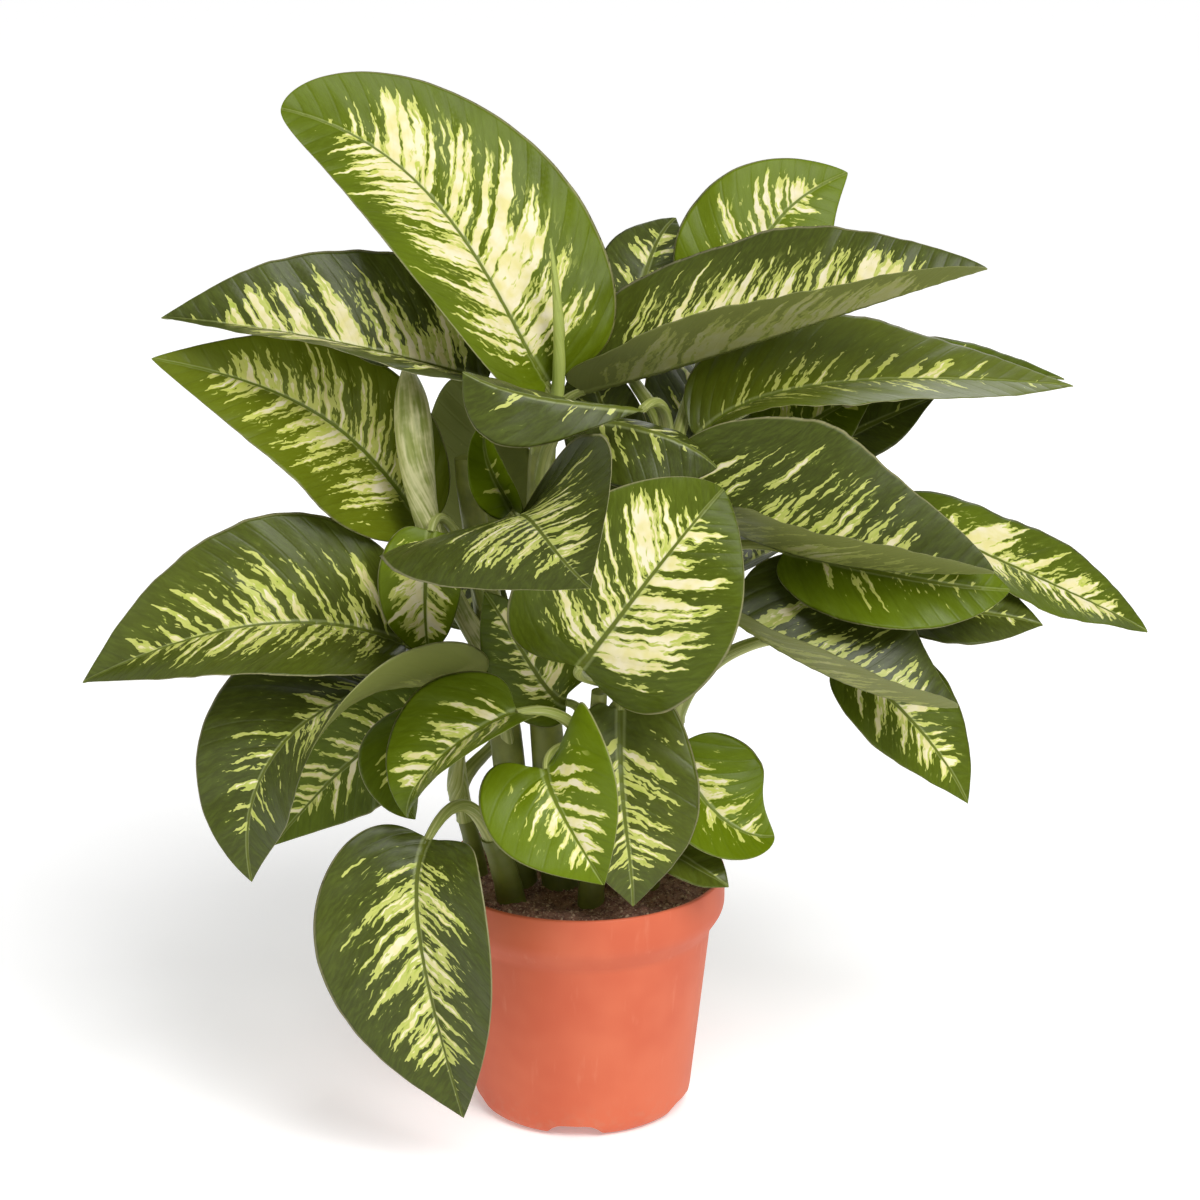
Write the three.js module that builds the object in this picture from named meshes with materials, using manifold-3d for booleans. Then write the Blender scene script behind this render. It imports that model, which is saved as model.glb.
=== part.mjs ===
// A potted dieffenbachia: a plastic nursery pot, its soil, seven leafy stems and their leaf blades.
// Units are millimetres. +Z is up, -Y is the front, and the origin is the middle of the pot's foot.
import * as THREE from 'three';
import { mergeVertices } from 'three/addons/utils/BufferGeometryUtils.js';
import Module from 'manifold-3d';

const wasm = await Module();
wasm.setup();

// Driving dimensions

const pot = {
  height: 160,
  rimRadius: 92,
  rimBand: 24,
  rimWall: 3,
  shoulderDrop: 14,
  neckRadius: 83,
  footRadius: 69.5,
  footCorner: 10,
  wall: 2.5,
  innerFloor: 13,
  floorCorner: 4,
  edgeRound: 1,
  cornerSteps: 4,
  sides: 36,
};
const drain = {
  count: 5,
  bottomWidth: 39,
  topWidth: 22,
  height: 9,
  below: 1,
  flare: 1,
  depth: 30,
  inset: 18,
  firstAngle: -94,
};
const soil = { top: 150, gap: 0.3, mound: 3, holeGap: 0.4, sides: 36, rings: 4 };
const lumps = { height: 0.3, onMound: 0.4, across: 9, deep: 7, slanted: 13 };
const stem = { sides: 8, steps: 9, ringCount: 9, ringHeight: 0.9, ringSharpness: 6 };
const stalk = { sides: 6, steps: 5, baseRadius: 7, tipRadius: 2.8, taper: 0.7, jointGap: 0.4 };
const blade = { lengthCells: 10, halfCells: 2, start: 0.006, end: 0.992, edge: 0.8, rib: 2.4, notch: 6 };
const probe = { step: 0.01, nearEnd: 0.03, searches: 20 };

// Colours

const potPlastic = { color: '#d4694a', roughness: 0.55 };
const soilPeat = { color: '#7a5244', roughness: 0.95 };
const stemGreen = { color: '#8a9a52', roughness: 0.5 };
const matureLeaf = { color: '#4c5d3a', roughness: 0.4 };
const freshLeaf = { color: '#6b9a2a', roughness: 0.38 };
const creamLeaf = { color: '#a9b86a', roughness: 0.42 };

// The stems. Each one runs through its points, from under the soil to its top.

const stems = {
  stem_left: {
    radius: [12, 8],
    path: [[-37, -5, 100], [-49, -8, 257], [-63, 5, 360], [-72, 15, 430]],
  },
  stem_main: {
    radius: [12.5, 8],
    path: [[-9, -18, 100], [-23, -8, 262], [-27, 10, 370], [-23, 25, 455]],
  },
  stem_right: {
    radius: [12, 8],
    path: [[17, 14, 100], [27, 12, 250], [43, 12, 360], [55, 15, 430]],
  },
  stem_low_right: {
    radius: [9, 6],
    path: [[37, -14, 100], [45, -16, 180], [53, -16, 230], [59, -14, 270]],
  },
  stem_front: {
    radius: [9.5, 5],
    path: [[3, -38, 100], [6, -43, 165], [8, -48, 230], [11, -58, 300]],
  },
  stem_low_left: {
    radius: [12, 7],
    path: [[-41, -32, 100], [-45, -36, 150], [-51, -42, 180], [-57, -48, 200]],
  },
  stem_side: {
    radius: [8, 5],
    path: [[-63, 10, 100], [-69, 10, 160], [-75, 8, 190], [-81, 6, 210]],
  },
};

// The leaves
// stem and from: the stem that the leaf's stalk leaves, and the height where it does. tone: its colour.
// rib: four points that the midrib passes through, from the leaf's base to its tip.
// face: the way the upper side looks; tipFace: the same at the tip, where the blade twists.
// half: half the blade's width. A pair in half and lobe is [left, right], seen with the tip ahead.
// widest: a larger value brings the widest place nearer the tip. blunt: a smaller value rounds the tip.
// lobe: how far the base sweeps back beside the stalk; below zero the base narrows.
// left and right: [lift from the face at the midrib, further bend to the edge] in degrees. A second
// pair in the same list holds for the tip.
// wave: [height of the edge's waves, how many, where the first one starts].
// rise and arch: how far the stalk runs on straight from the stem, and straight into the blade, as
// shares of its length; bow: the two points that draw the stalk's curve instead.
// sheath and slim: the stalk's radius at the stem and at the blade; swell: more radius near the top.

const leaves = [
  { name: 'crown_left', stem: 'stem_main', from: 440, tone: creamLeaf, half: [62, 76],
    blunt: 0.04, lobe: [0.5, 0.35],
    rib: [[-22, 12, 478], [-55, 22, 538], [-105, 50, 600], [-187, 60, 642]],
    face: [0.03, -0.9, 0.4], left: [62, 0, 25, 0], right: [0, -10], wave: [2.5, 2, 0.1] },
  { name: 'upper_left', stem: 'stem_main', from: 400, tone: matureLeaf, half: 63, lobe: [0.6, 0.4],
    rib: [[-59, 18, 478], [-118, 14, 496], [-185, 8, 512], [-260, 10, 521]],
    face: [0, -0.47, 0.88], left: [42, -10], right: [42, -10], wave: [2.5, 2, 0.3] },
  { name: 'middle_left', stem: 'stem_left', from: 330, tone: matureLeaf, half: [62, 50],
    blunt: 0.35, lobe: 0,
    rib: [[-99, 14, 384], [-138, 10, 437], [-187, 2, 474], [-267, 10, 495]],
    face: [-0.1, -0.8, 0.6], left: [40, 0, 20, 0], right: [12, -10], wave: [2, 2, 0.5] },
  { name: 'low_left', stem: 'stem_left', from: 270, tone: matureLeaf, half: 68, lobe: 0,
    rib: [[-111, -25, 320], [-165, -45, 340], [-229, -60, 338], [-310, -50, 303]],
    face: [0, -0.65, 0.76], left: [35, -10], right: [35, -10], wave: [2, 2, 0.2] },
  { name: 'lower_left', stem: 'stem_left', from: 220, tone: matureLeaf, half: 68,
    rib: [[-69, -42, 296], [-139, -75, 303], [-191, -100, 268], [-203, -105, 192]],
    face: [-0.15, -0.8, 0.5], left: [80, 80, 10, 0], right: [-55, 0, 15, 0], wave: [2, 2, 0.1] },
  { name: 'hidden_left', stem: 'stem_side', from: 190, tone: freshLeaf, half: 46,
    rib: [[-92, 12, 250], [-127, 22, 240], [-162, 28, 210], [-203, 28, 163]],
    face: [0.1, -0.6, 0.8], left: [10, 0], right: [10, 0], wave: [1.5, 2, 0] },
  { name: 'hanging_front', stem: 'stem_low_left', from: 190, tone: matureLeaf, half: [58, 65],
    lobe: [0.2, 0],
    rib: [[-95, -88, 214], [-101, -112, 175], [-91, -120, 112], [-74, -115, 37]],
    face: [0, -1, 0.2], left: [40, 0], right: [5, -5], wave: [1.5, 2, 0.4],
    rise: 0.7, arch: 0.6 },
  { name: 'small_left', stem: 'stem_front', from: 230, tone: freshLeaf, half: 44,
    rib: [[-39, -86, 296], [-65, -100, 288], [-93, -113, 268], [-106, -114, 238]],
    face: [-0.3, -0.85, 0.45], left: [60, 0], right: [0, -5], wave: [1.5, 2, 0.2] },
  { name: 'small_left_back', stem: 'stem_side', from: 205, tone: freshLeaf, half: 38,
    rib: [[-85, -20, 254], [-103, -30, 250], [-111, -40, 233], [-105, -45, 210]],
    face: [-0.3, -0.7, 0.6], left: [50, 0], right: [0, 0], wave: [1, 2, 0] },
  { name: 'front_heart', stem: 'stem_front', from: 240, tone: freshLeaf, half: [52, 46],
    widest: 0.68, lobe: [1.45, 0.6], slim: 1.1,
    rib: [[-22, -98, 264], [-16, -112, 249], [-3, -124, 228], [14, -132, 201]],
    face: [-0.15, -0.8, 0.55], left: [30, 0, 40, 0], right: [10, 0], wave: [1.5, 2, 0.5] },
  { name: 'front_dark', stem: 'stem_front', from: 245, tone: matureLeaf, half: [48, 36], lobe: [1.1, 0.8],
    rib: [[24, -60, 290], [25, -82, 244], [29, -90, 208], [32, -84, 167]],
    face: [0.15, -0.9, 0.4], left: [10, 0], right: [10, 0], wave: [1, 2, 0.1] },
  { name: 'front_right', stem: 'stem_low_right', from: 230, tone: freshLeaf, half: [44, 38], blunt: 0.1,
    rib: [[58, -34, 256], [73, -46, 229], [95, -54, 209], [121, -56, 203]],
    face: [0.1, -0.8, 0.6], left: [10, 0], right: [30, 0], wave: [0.6, 2, 0.05] },
  { name: 'soil_leaf', stem: 'stem_low_right', from: 170, tone: matureLeaf, half: 20,
    rib: [[49, -52, 197], [61, -62, 192], [77, -70, 185], [92, -74, 176]],
    face: [0, -0.5, 0.85], left: [15, 0], right: [15, 0], wave: [0.5, 2, 0] },
  { name: 'centre', stem: 'stem_right', from: 270, tone: creamLeaf, half: [68, 66],
    blunt: 0.2, lobe: 0.5,
    rib: [[-1, -88, 326], [23, -112, 366], [53, -116, 408], [85, -98, 442]],
    bow: [[30, -26, 300], [-11, -73, 309]],
    face: [0.1, -0.95, 0.25], left: [10, 0], right: [10, 0], wave: [2, 2, 0.6] },
  { name: 'centre_curl', stem: 'stem_main', from: 330, tone: matureLeaf, half: [70, 93], lobe: [-0.3, 0.1],
    widest: 0.88, slim: 2.2,
    rib: [[-47, -20, 388], [-35, -80, 420], [-19, -138, 421], [6, -190, 409]],
    face: [-0.1, -0.2, 0.95], left: [0, 80, 30, 20], right: [0, -5], wave: [2, 2, 0.1] },
  { name: 'centre_top', stem: 'stem_right', from: 405, tone: matureLeaf, half: [34, 31],
    widest: 2.2, blunt: 0.5,
    rib: [[38, -56, 480], [8, -68, 486], [-32, -72, 493], [-71, -65, 506]],
    bow: [[55, 14, 440], [55, -2, 482]],
    face: [0, -0.5, 0.87], left: [-35, 0], right: [-30, -20], wave: [1, 2, 0] },
  { name: 'centre_top_right', stem: 'stem_main', from: 390, tone: matureLeaf, half: 40, blunt: 0.15,
    rib: [[5, -30, 467], [31, -46, 467], [60, -54, 459], [83, -52, 442]],
    face: [0, -0.5, 0.87], left: [-30, -20], right: [-35, 0], wave: [1, 2, 0.2] },
  { name: 'upper_right', stem: 'stem_main', from: 425, tone: matureLeaf, half: [73, 64], blunt: 0.3,
    rib: [[0, 35, 467], [76, 15, 494], [162, 2, 526], [250, 10, 552]],
    face: [-0.1, -0.35, 0.93], left: [35, -5], right: [58, -5], wave: [2, 2, 0.2] },
  { name: 'second_right', stem: 'stem_right', from: 400, tone: matureLeaf, half: 60,
    lobe: -0.4, slim: 2,
    rib: [[74, 28, 439], [128, 31, 468], [213, 33, 476], [310, 39, 470]],
    face: [0, -0.7, 0.7], tipFace: [0, -0.2, 1], left: [5, 0], right: [60, 0, 0, 0], wave: [2, 2, 0.6] },
  { name: 'back_top', stem: 'stem_right', from: 400, tone: creamLeaf, half: 52, blunt: 0.3, lobe: 0.1,
    rib: [[85, 85, 493], [107, 97, 533], [129, 111, 565], [171, 130, 588]],
    face: [0, -0.8, 0.55], left: [15, -10], right: [5, -10], wave: [1.5, 2, 0],
    rise: 0.2, arch: 0.2 },
  { name: 'back_top_dark', stem: 'stem_right', from: 420, tone: matureLeaf, half: 32,
    rib: [[28, 79, 489], [37, 101, 517], [47, 124, 541], [61, 147, 555]],
    face: [0, -0.6, 0.8], left: [5, -10], right: [5, -10], wave: [1.5, 2, 0.3] },
  { name: 'right_dark', stem: 'stem_right', from: 350, tone: matureLeaf, half: [82, 66],
    widest: 0.88, blunt: 0.2, lobe: [0.1, -0.9],
    rib: [[42, -26, 427], [97, -48, 399], [163, -62, 383], [253, -58, 377]],
    face: [0, -0.57, 0.82], left: [37, 0], right: [68, 0], wave: [2, 2, 0.4] },
  { name: 'right_green', stem: 'stem_right', from: 310, tone: freshLeaf, half: 39, blunt: 0.3,
    rib: [[125, -32, 384], [171, -45, 376], [218, -50, 368], [265, -40, 360]],
    face: [0, -0.75, 0.65], left: [20, 0], right: [5, 0], wave: [1.5, 2, 0] },
  { name: 'right_low_dark', stem: 'stem_low_right', from: 255, tone: matureLeaf, half: [72, 52], blunt: 0.2,
    lobe: [0.4, 0.3],
    rib: [[90, -50, 347], [134, -65, 323], [183, -75, 304], [232, -70, 294]],
    face: [0, -0.5, 0.86], left: [20, 0], right: [64, 0], wave: [2, 2, 0.1] },
  { name: 'right_far', stem: 'stem_right', from: 330, tone: creamLeaf, half: 41, blunt: 0.35,
    rib: [[198, 30, 390], [259, 30, 361], [315, 25, 336], [361, 20, 313]],
    face: [0.2, -0.35, 0.9], left: [10, 0], right: [10, 0], wave: [2, 2, 0.3] },
  { name: 'right_far_low', stem: 'stem_low_right', from: 265, tone: matureLeaf, half: 35,
    rib: [[189, 0, 344], [223, -10, 339], [257, -14, 336], [290, -12, 328]],
    face: [0, -0.5, 0.87], left: [10, 0], right: [10, 0], wave: [1, 2, 0.2] },
  { name: 'right_lowest', stem: 'stem_low_right', from: 260, tone: creamLeaf, half: 37,
    rib: [[166, -5, 305], [191, -12, 283], [220, -20, 253], [245, -25, 213]],
    face: [0.2, -0.7, 0.7], left: [10, 0], right: [10, 0], wave: [1, 2, 0.5] },
  { name: 'centre_low', stem: 'stem_front', from: 225, tone: freshLeaf, half: 28,
    rib: [[-10, -36, 285], [-25, -44, 302], [-43, -49, 334], [-60, -46, 361]],
    face: [-0.2, -0.9, 0.3], left: [10, 0], right: [10, 0], wave: [1, 2, 0] },
  { name: 'young_roll', stem: 'stem_main', from: 375, tone: freshLeaf, half: 20,
    rib: [[-43, -12, 404], [-52, -23, 424], [-59, -28, 445], [-57, -24, 468]],
    face: [-0.3, -0.9, 0.2], left: [50, 20], right: [30, 20], wave: [1, 1, 0] },
  { name: 'inner_back', stem: 'stem_left', from: 345, tone: freshLeaf, half: [34, 40], blunt: -0.2,
    rib: [[-60, 36, 366], [-64, 42, 400], [-66, 46, 436], [-66, 48, 474]],
    face: [0.2, 0.9, 0.2], left: [10, 0], right: [10, 0], wave: [1, 2, 0] },
  { name: 'inner_rear', stem: 'stem_right', from: 380, tone: matureLeaf, half: [31, 24], blunt: 0,
    rib: [[26, 48, 398], [21, 51, 428], [11, 53, 458], [2, 53, 482]],
    face: [0, -0.9, 0.3], left: [10, 0], right: [10, 0], wave: [1, 2, 0.4] },
  { name: 'inner_left', stem: 'stem_left', from: 300, tone: creamLeaf, half: [23, 30], blunt: 0.2,
    rib: [[-93, -28, 395], [-96, -38, 372], [-97, -40, 344], [-95, -34, 315]],
    face: [0, -1, 0.2], left: [10, 0], right: [10, 0], wave: [1.5, 3, 0] },
  { name: 'right_edge', stem: 'stem_right', from: 375, tone: freshLeaf, half: 35,
    rib: [[153, 92, 456], [203, 102, 461], [253, 102, 463], [311, 92, 461]],
    face: [0, -0.3, 0.95], left: [10, 0], right: [10, 0], wave: [1, 2, 0.4] },
  { name: 'right_under', stem: 'stem_right', from: 385, tone: matureLeaf, half: 25,
    rib: [[143, 48, 420], [169, 54, 433], [197, 57, 446], [225, 55, 459]],
    face: [0, -0.7, 0.7], left: [10, 0], right: [10, 0], wave: [1, 2, 0.1] },
  { name: 'right_inner', stem: 'stem_right', from: 375, tone: creamLeaf, half: 32,
    rib: [[111, 32, 425], [135, 34, 442], [159, 36, 456], [187, 34, 470]],
    face: [0, -0.8, 0.6], left: [10, 0], right: [10, 0], wave: [1, 2, 0] },
  { name: 'rear_upper_left', stem: 'stem_left', from: 300, tone: creamLeaf, half: 60,
    sheath: 9, slim: 1.6, swell: 9,
    rib: [[-109, 24, 486], [-135, 78, 508], [-165, 130, 510], [-199, 185, 488]],
    bow: [[-110, -16, 380], [-98, -34, 446]],
    face: [-0.2, 0.3, 0.9], left: [20, -5], right: [20, -5], wave: [2, 2, 0.3] },
  { name: 'rear_top', stem: 'stem_main', from: 445, tone: matureLeaf, half: 64, lobe: 0.1,
    rib: [[-26, 66, 466], [-30, 118, 496], [-30, 174, 501], [-24, 236, 476]],
    face: [0, 0.3, 0.95], left: [20, -5], right: [20, -5], wave: [2, 3, 0] },
  { name: 'rear_right', stem: 'stem_right', from: 405, tone: matureLeaf, half: 54, lobe: 0,
    rib: [[66, 72, 412], [92, 125, 440], [118, 178, 446], [146, 232, 422]],
    face: [0.2, 0.3, 0.9], left: [20, -5], right: [20, -5], wave: [2, 3, 0.5] },
  { name: 'rear_low_left', stem: 'stem_left', from: 250, tone: matureLeaf, half: 58,
    rib: [[-72, 60, 300], [-112, 105, 315], [-152, 150, 305], [-187, 190, 265]],
    face: [-0.2, 0.35, 0.9], left: [20, -5], right: [20, -5], wave: [2, 3, 0.1] },
  { name: 'rear_low', stem: 'stem_main', from: 280, tone: matureLeaf, half: 62,
    rib: [[-7, 75, 335], [-7, 128, 350], [-2, 182, 335], [3, 235, 290]],
    face: [0, 0.4, 0.9], left: [20, -5], right: [20, -5], wave: [2, 3, 0.7] },
  { name: 'rear_low_right', stem: 'stem_right', from: 280, tone: matureLeaf, half: 58,
    rib: [[83, 60, 330], [133, 100, 345], [178, 140, 335], [223, 178, 295]],
    face: [0.2, 0.35, 0.9], left: [20, -5], right: [20, -5], wave: [2, 3, 0.2] },
  { name: 'rear_drop_left', stem: 'stem_side', from: 200, tone: freshLeaf, half: 44,
    rib: [[-57, 55, 235], [-82, 95, 235], [-102, 130, 205], [-115, 155, 165]],
    face: [-0.3, 0.6, 0.7], left: [15, 0], right: [15, 0], wave: [1.5, 2, 0.3] },
  { name: 'rear_drop_right', stem: 'stem_low_right', from: 200, tone: freshLeaf, half: 44,
    rib: [[48, 45, 215], [61, 88, 208], [71, 122, 180], [77, 145, 140]],
    face: [0.3, 0.6, 0.7], left: [15, 0], right: [15, 0], wave: [1.5, 2, 0.6] },
];

// The rolled new leaf that stands up from the crown.
const spear = { stem: 'stem_main', radius: 4.5, tipRadius: 0.7,
  path: [[-21, 20, 445], [-14, 6, 485], [-15, 4, 530], [-19, 6, 572]] };

// Small helpers

const vector = (point) => new THREE.Vector3(...point);
const mix = (a, b, t) => a + (b - a) * t;

function finish(name, geometry, look) {
  const material = new THREE.MeshStandardMaterial({ ...look, metalness: 0 });
  const mesh = new THREE.Mesh(geometry, material);
  mesh.name = name;
  return mesh;
}

function toSolid(geometry) {
  const plain = geometry.clone();
  plain.deleteAttribute('normal');
  plain.deleteAttribute('uv');
  const merged = mergeVertices(plain, 1e-4);
  return new wasm.Manifold(new wasm.Mesh({
    numProp: 3,
    vertProperties: new Float32Array(merged.attributes.position.array),
    triVerts: new Uint32Array(merged.index.array),
  }));
}

function toGeometry(solid) {
  const mesh = solid.getMesh();
  const geometry = new THREE.BufferGeometry();
  geometry.setAttribute('position', new THREE.BufferAttribute(new Float32Array(mesh.vertProperties), 3));
  geometry.setIndex(new THREE.BufferAttribute(new Uint32Array(mesh.triVerts), 1));
  return geometry;
}

// The cubic curve that passes through four points at equal steps.
function throughFour(points, t) {
  const place = new THREE.Vector3();
  for (let i = 0; i < 4; i += 1) {
    let weight = 1;
    for (let j = 0; j < 4; j += 1) {
      if (j !== i) weight *= (3 * t - j) / (i - j);
    }
    place.addScaledVector(vector(points[i]), weight);
  }
  return place;
}

function alongFour(points, t) {
  return throughFour(points, t + probe.step).sub(throughFour(points, t - probe.step)).normalize();
}

// A round stalk: a cylinder whose rings are carried along a curve, with a radius that changes.
function sweepTube(placeAt, radiusAt, sides, steps) {
  const geometry = new THREE.CylinderGeometry(1, 1, 1, sides, steps);
  const position = geometry.attributes.position;
  const frames = [];
  let across = new THREE.Vector3(1, 0, 0);
  for (let i = 0; i <= steps; i += 1) {
    const t = i / steps;
    const next = placeAt(Math.min(1, t + probe.step));
    const ahead = next.sub(placeAt(Math.max(0, t - probe.step))).normalize();
    across = across.clone().addScaledVector(ahead, -across.dot(ahead)).normalize();
    frames.push({ centre: placeAt(t), across, side: new THREE.Vector3().crossVectors(across, ahead) });
  }
  for (let i = 0; i < position.count; i += 1) {
    const t = Math.round((position.getY(i) + 0.5) * steps) / steps;
    const frame = frames[Math.round(t * steps)];
    const radius = radiusAt(t);
    const point = frame.centre.clone();
    point.addScaledVector(frame.across, position.getX(i) * radius);
    point.addScaledVector(frame.side, position.getZ(i) * radius);
    position.setXYZ(i, point.x, point.y, point.z);
  }
  return geometry;
}

// Leaf blades

// A value that is the same on both sides of the midrib, or a pair of values for left and right.
const perSide = (value, side) => (Array.isArray(value) ? value[side < 0 ? 0 : 1] : value);

// Half width along the blade: a round base, widest before the middle, and a drawn-out tip.
function bladeWidth(leaf, t) {
  const widest = leaf.widest ?? 0.78;
  return Math.sin(Math.PI * t ** widest) ** (0.5 + (leaf.blunt ?? 0.45) * t);
}

// A point of the blade's middle surface: t runs from base to tip, v from the left edge to the right.
function bladePoint(leaf, t, v) {
  const ahead = alongFour(leaf.rib, t);
  const wanted = vector(leaf.face).lerp(vector(leaf.tipFace ?? leaf.face), t);
  const up = wanted.addScaledVector(ahead, -wanted.dot(ahead)).normalize();
  const right = new THREE.Vector3().crossVectors(ahead, up);
  const side = Math.sign(v);
  const [baseLift, baseBend, tipLift = baseLift, tipBend = baseBend] = side < 0 ? leaf.left : leaf.right;
  const lift = mix(baseLift, tipLift, t);
  const bend = mix(baseBend, tipBend, t);
  const width = perSide(leaf.half, side) * bladeWidth(leaf, t);
  const reach = width * Math.abs(v);
  const turn = THREE.MathUtils.degToRad(bend * Math.abs(v) / 2);
  const angle = THREE.MathUtils.degToRad(lift) + turn;
  const chord = reach * (Math.abs(turn) > 0.001 ? Math.sin(turn) / turn : 1);
  const [height, count, start] = leaf.wave;
  const cycle = count * t + start + 0.25 * side;
  const wave = height * Math.sin(2 * Math.PI * cycle) * v * v * bladeWidth(leaf, t);
  const lobe = perSide(leaf.lobe ?? 0.3, side);
  const sweep = lobe * Math.max(0, reach - blade.notch) * (1 - t) ** 4;
  const point = throughFour(leaf.rib, t);
  point.addScaledVector(right, side * chord * Math.cos(angle));
  point.addScaledVector(up, chord * Math.sin(angle) + wave);
  point.addScaledVector(ahead, -sweep);
  return point;
}

function bladeNormal(leaf, t, v) {
  const inner = THREE.MathUtils.clamp(t, probe.nearEnd, 1 - probe.nearEnd);
  const along = bladePoint(leaf, inner + probe.step, v).sub(bladePoint(leaf, inner - probe.step, v));
  const across = bladePoint(leaf, inner, v + probe.step).sub(bladePoint(leaf, inner, v - probe.step));
  return across.cross(along).normalize();
}

function makeBlade(leaf) {
  const columns = 2 * blade.halfCells + 1;
  const positions = [];
  const index = [];
  for (const layer of [1, -1]) {
    for (let i = 0; i <= blade.lengthCells; i += 1) {
      const t = mix(blade.start, blade.end, i / blade.lengthCells);
      for (let j = 0; j < columns; j += 1) {
        const v = j / blade.halfCells - 1;
        const thickness = v === 0 ? mix(blade.rib, blade.edge, t) : blade.edge;
        const lift = layer > 0 ? blade.edge / 2 : blade.edge / 2 - thickness;
        const point = bladePoint(leaf, t, v).addScaledVector(bladeNormal(leaf, t, v), lift);
        positions.push(point.x, point.y, point.z);
      }
    }
  }
  const layerSize = (blade.lengthCells + 1) * columns;
  const at = (layer, i, j) => layer * layerSize + i * columns + j;
  const quad = (a, b, c, d) => index.push(a, b, c, a, c, d);
  for (let i = 0; i < blade.lengthCells; i += 1) {
    for (let j = 0; j < columns - 1; j += 1) {
      const [a, b, c, d] = [at(0, i, j), at(0, i, j + 1), at(0, i + 1, j + 1), at(0, i + 1, j)];
      quad(a, b, c, d);
      index.push(a + layerSize, c + layerSize, b + layerSize, a + layerSize, d + layerSize, c + layerSize);
    }
    quad(at(0, i, 0), at(0, i + 1, 0), at(1, i + 1, 0), at(1, i, 0));
    const last = columns - 1;
    quad(at(0, i + 1, last), at(0, i, last), at(1, i, last), at(1, i + 1, last));
  }
  for (let j = 0; j < columns - 1; j += 1) {
    quad(at(0, 0, j + 1), at(0, 0, j), at(1, 0, j), at(1, 0, j + 1));
    const end = blade.lengthCells;
    quad(at(0, end, j), at(0, end, j + 1), at(1, end, j + 1), at(1, end, j));
  }
  const geometry = new THREE.BufferGeometry();
  geometry.setAttribute('position', new THREE.Float32BufferAttribute(positions, 3));
  geometry.setIndex(index);
  return geometry;
}

// Stems with their leaf stalks

function heightOnStem(path, height) {
  let low = 0;
  let high = 1;
  for (let i = 0; i < probe.searches; i += 1) {
    const middle = (low + high) / 2;
    if (throughFour(path, middle).z < height) low = middle;
    else high = middle;
  }
  return (low + high) / 2;
}

function stemRadius(name, t) {
  const [bottom, top] = stems[name].radius;
  const ring = Math.max(0, Math.cos(2 * Math.PI * stem.ringCount * t)) ** stem.ringSharpness;
  return mix(bottom, top, t) + stem.ringHeight * ring;
}

// A stalk's radius, from the stem to the blade; a swollen stalk is thickest at four fifths of the way.
function stalkRadius(leaf, s) {
  const swell = (leaf.swell ?? 0) * Math.sin(Math.PI * s ** 3);
  return mix(leaf.sheath ?? stalk.baseRadius, leaf.slim ?? stalk.tipRadius, s ** stalk.taper) + swell;
}

function makeStem(name) {
  const { path } = stems[name];
  const cane = sweepTube((t) => throughFour(path, t), (t) => stemRadius(name, t), stem.sides, stem.steps);
  let solid = toSolid(cane);
  for (const leaf of leaves.filter((one) => one.stem === name)) {
    const t = heightOnStem(path, leaf.from);
    const start = throughFour(path, t);
    const rise = alongFour(path, t);
    const ahead = alongFour(leaf.rib, blade.start);
    const end = throughFour(leaf.rib, blade.start).addScaledVector(ahead, -stalk.jointGap);
    const reach = start.distanceTo(end);
    const [lower, upper] = leaf.bow ? leaf.bow.map(vector) : [
      start.clone().addScaledVector(rise, reach * (leaf.rise ?? 0.45)),
      end.clone().addScaledVector(ahead, -reach * (leaf.arch ?? 0.35)),
    ];
    const curve = new THREE.CubicBezierCurve3(start, lower, upper, end);
    const radiusAt = (s) => stalkRadius(leaf, s);
    solid = solid.add(toSolid(sweepTube((s) => curve.getPoint(s), radiusAt, stalk.sides, stalk.steps)));
  }
  if (name === spear.stem) {
    const taper = (s) => mix(spear.radius, spear.tipRadius, s ** 3);
    const place = (s) => throughFour(spear.path, s);
    solid = solid.add(toSolid(sweepTube(place, taper, stalk.sides, stalk.steps)));
  }
  return finish(name, toGeometry(solid), stemGreen);
}

// Pot and soil

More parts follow.
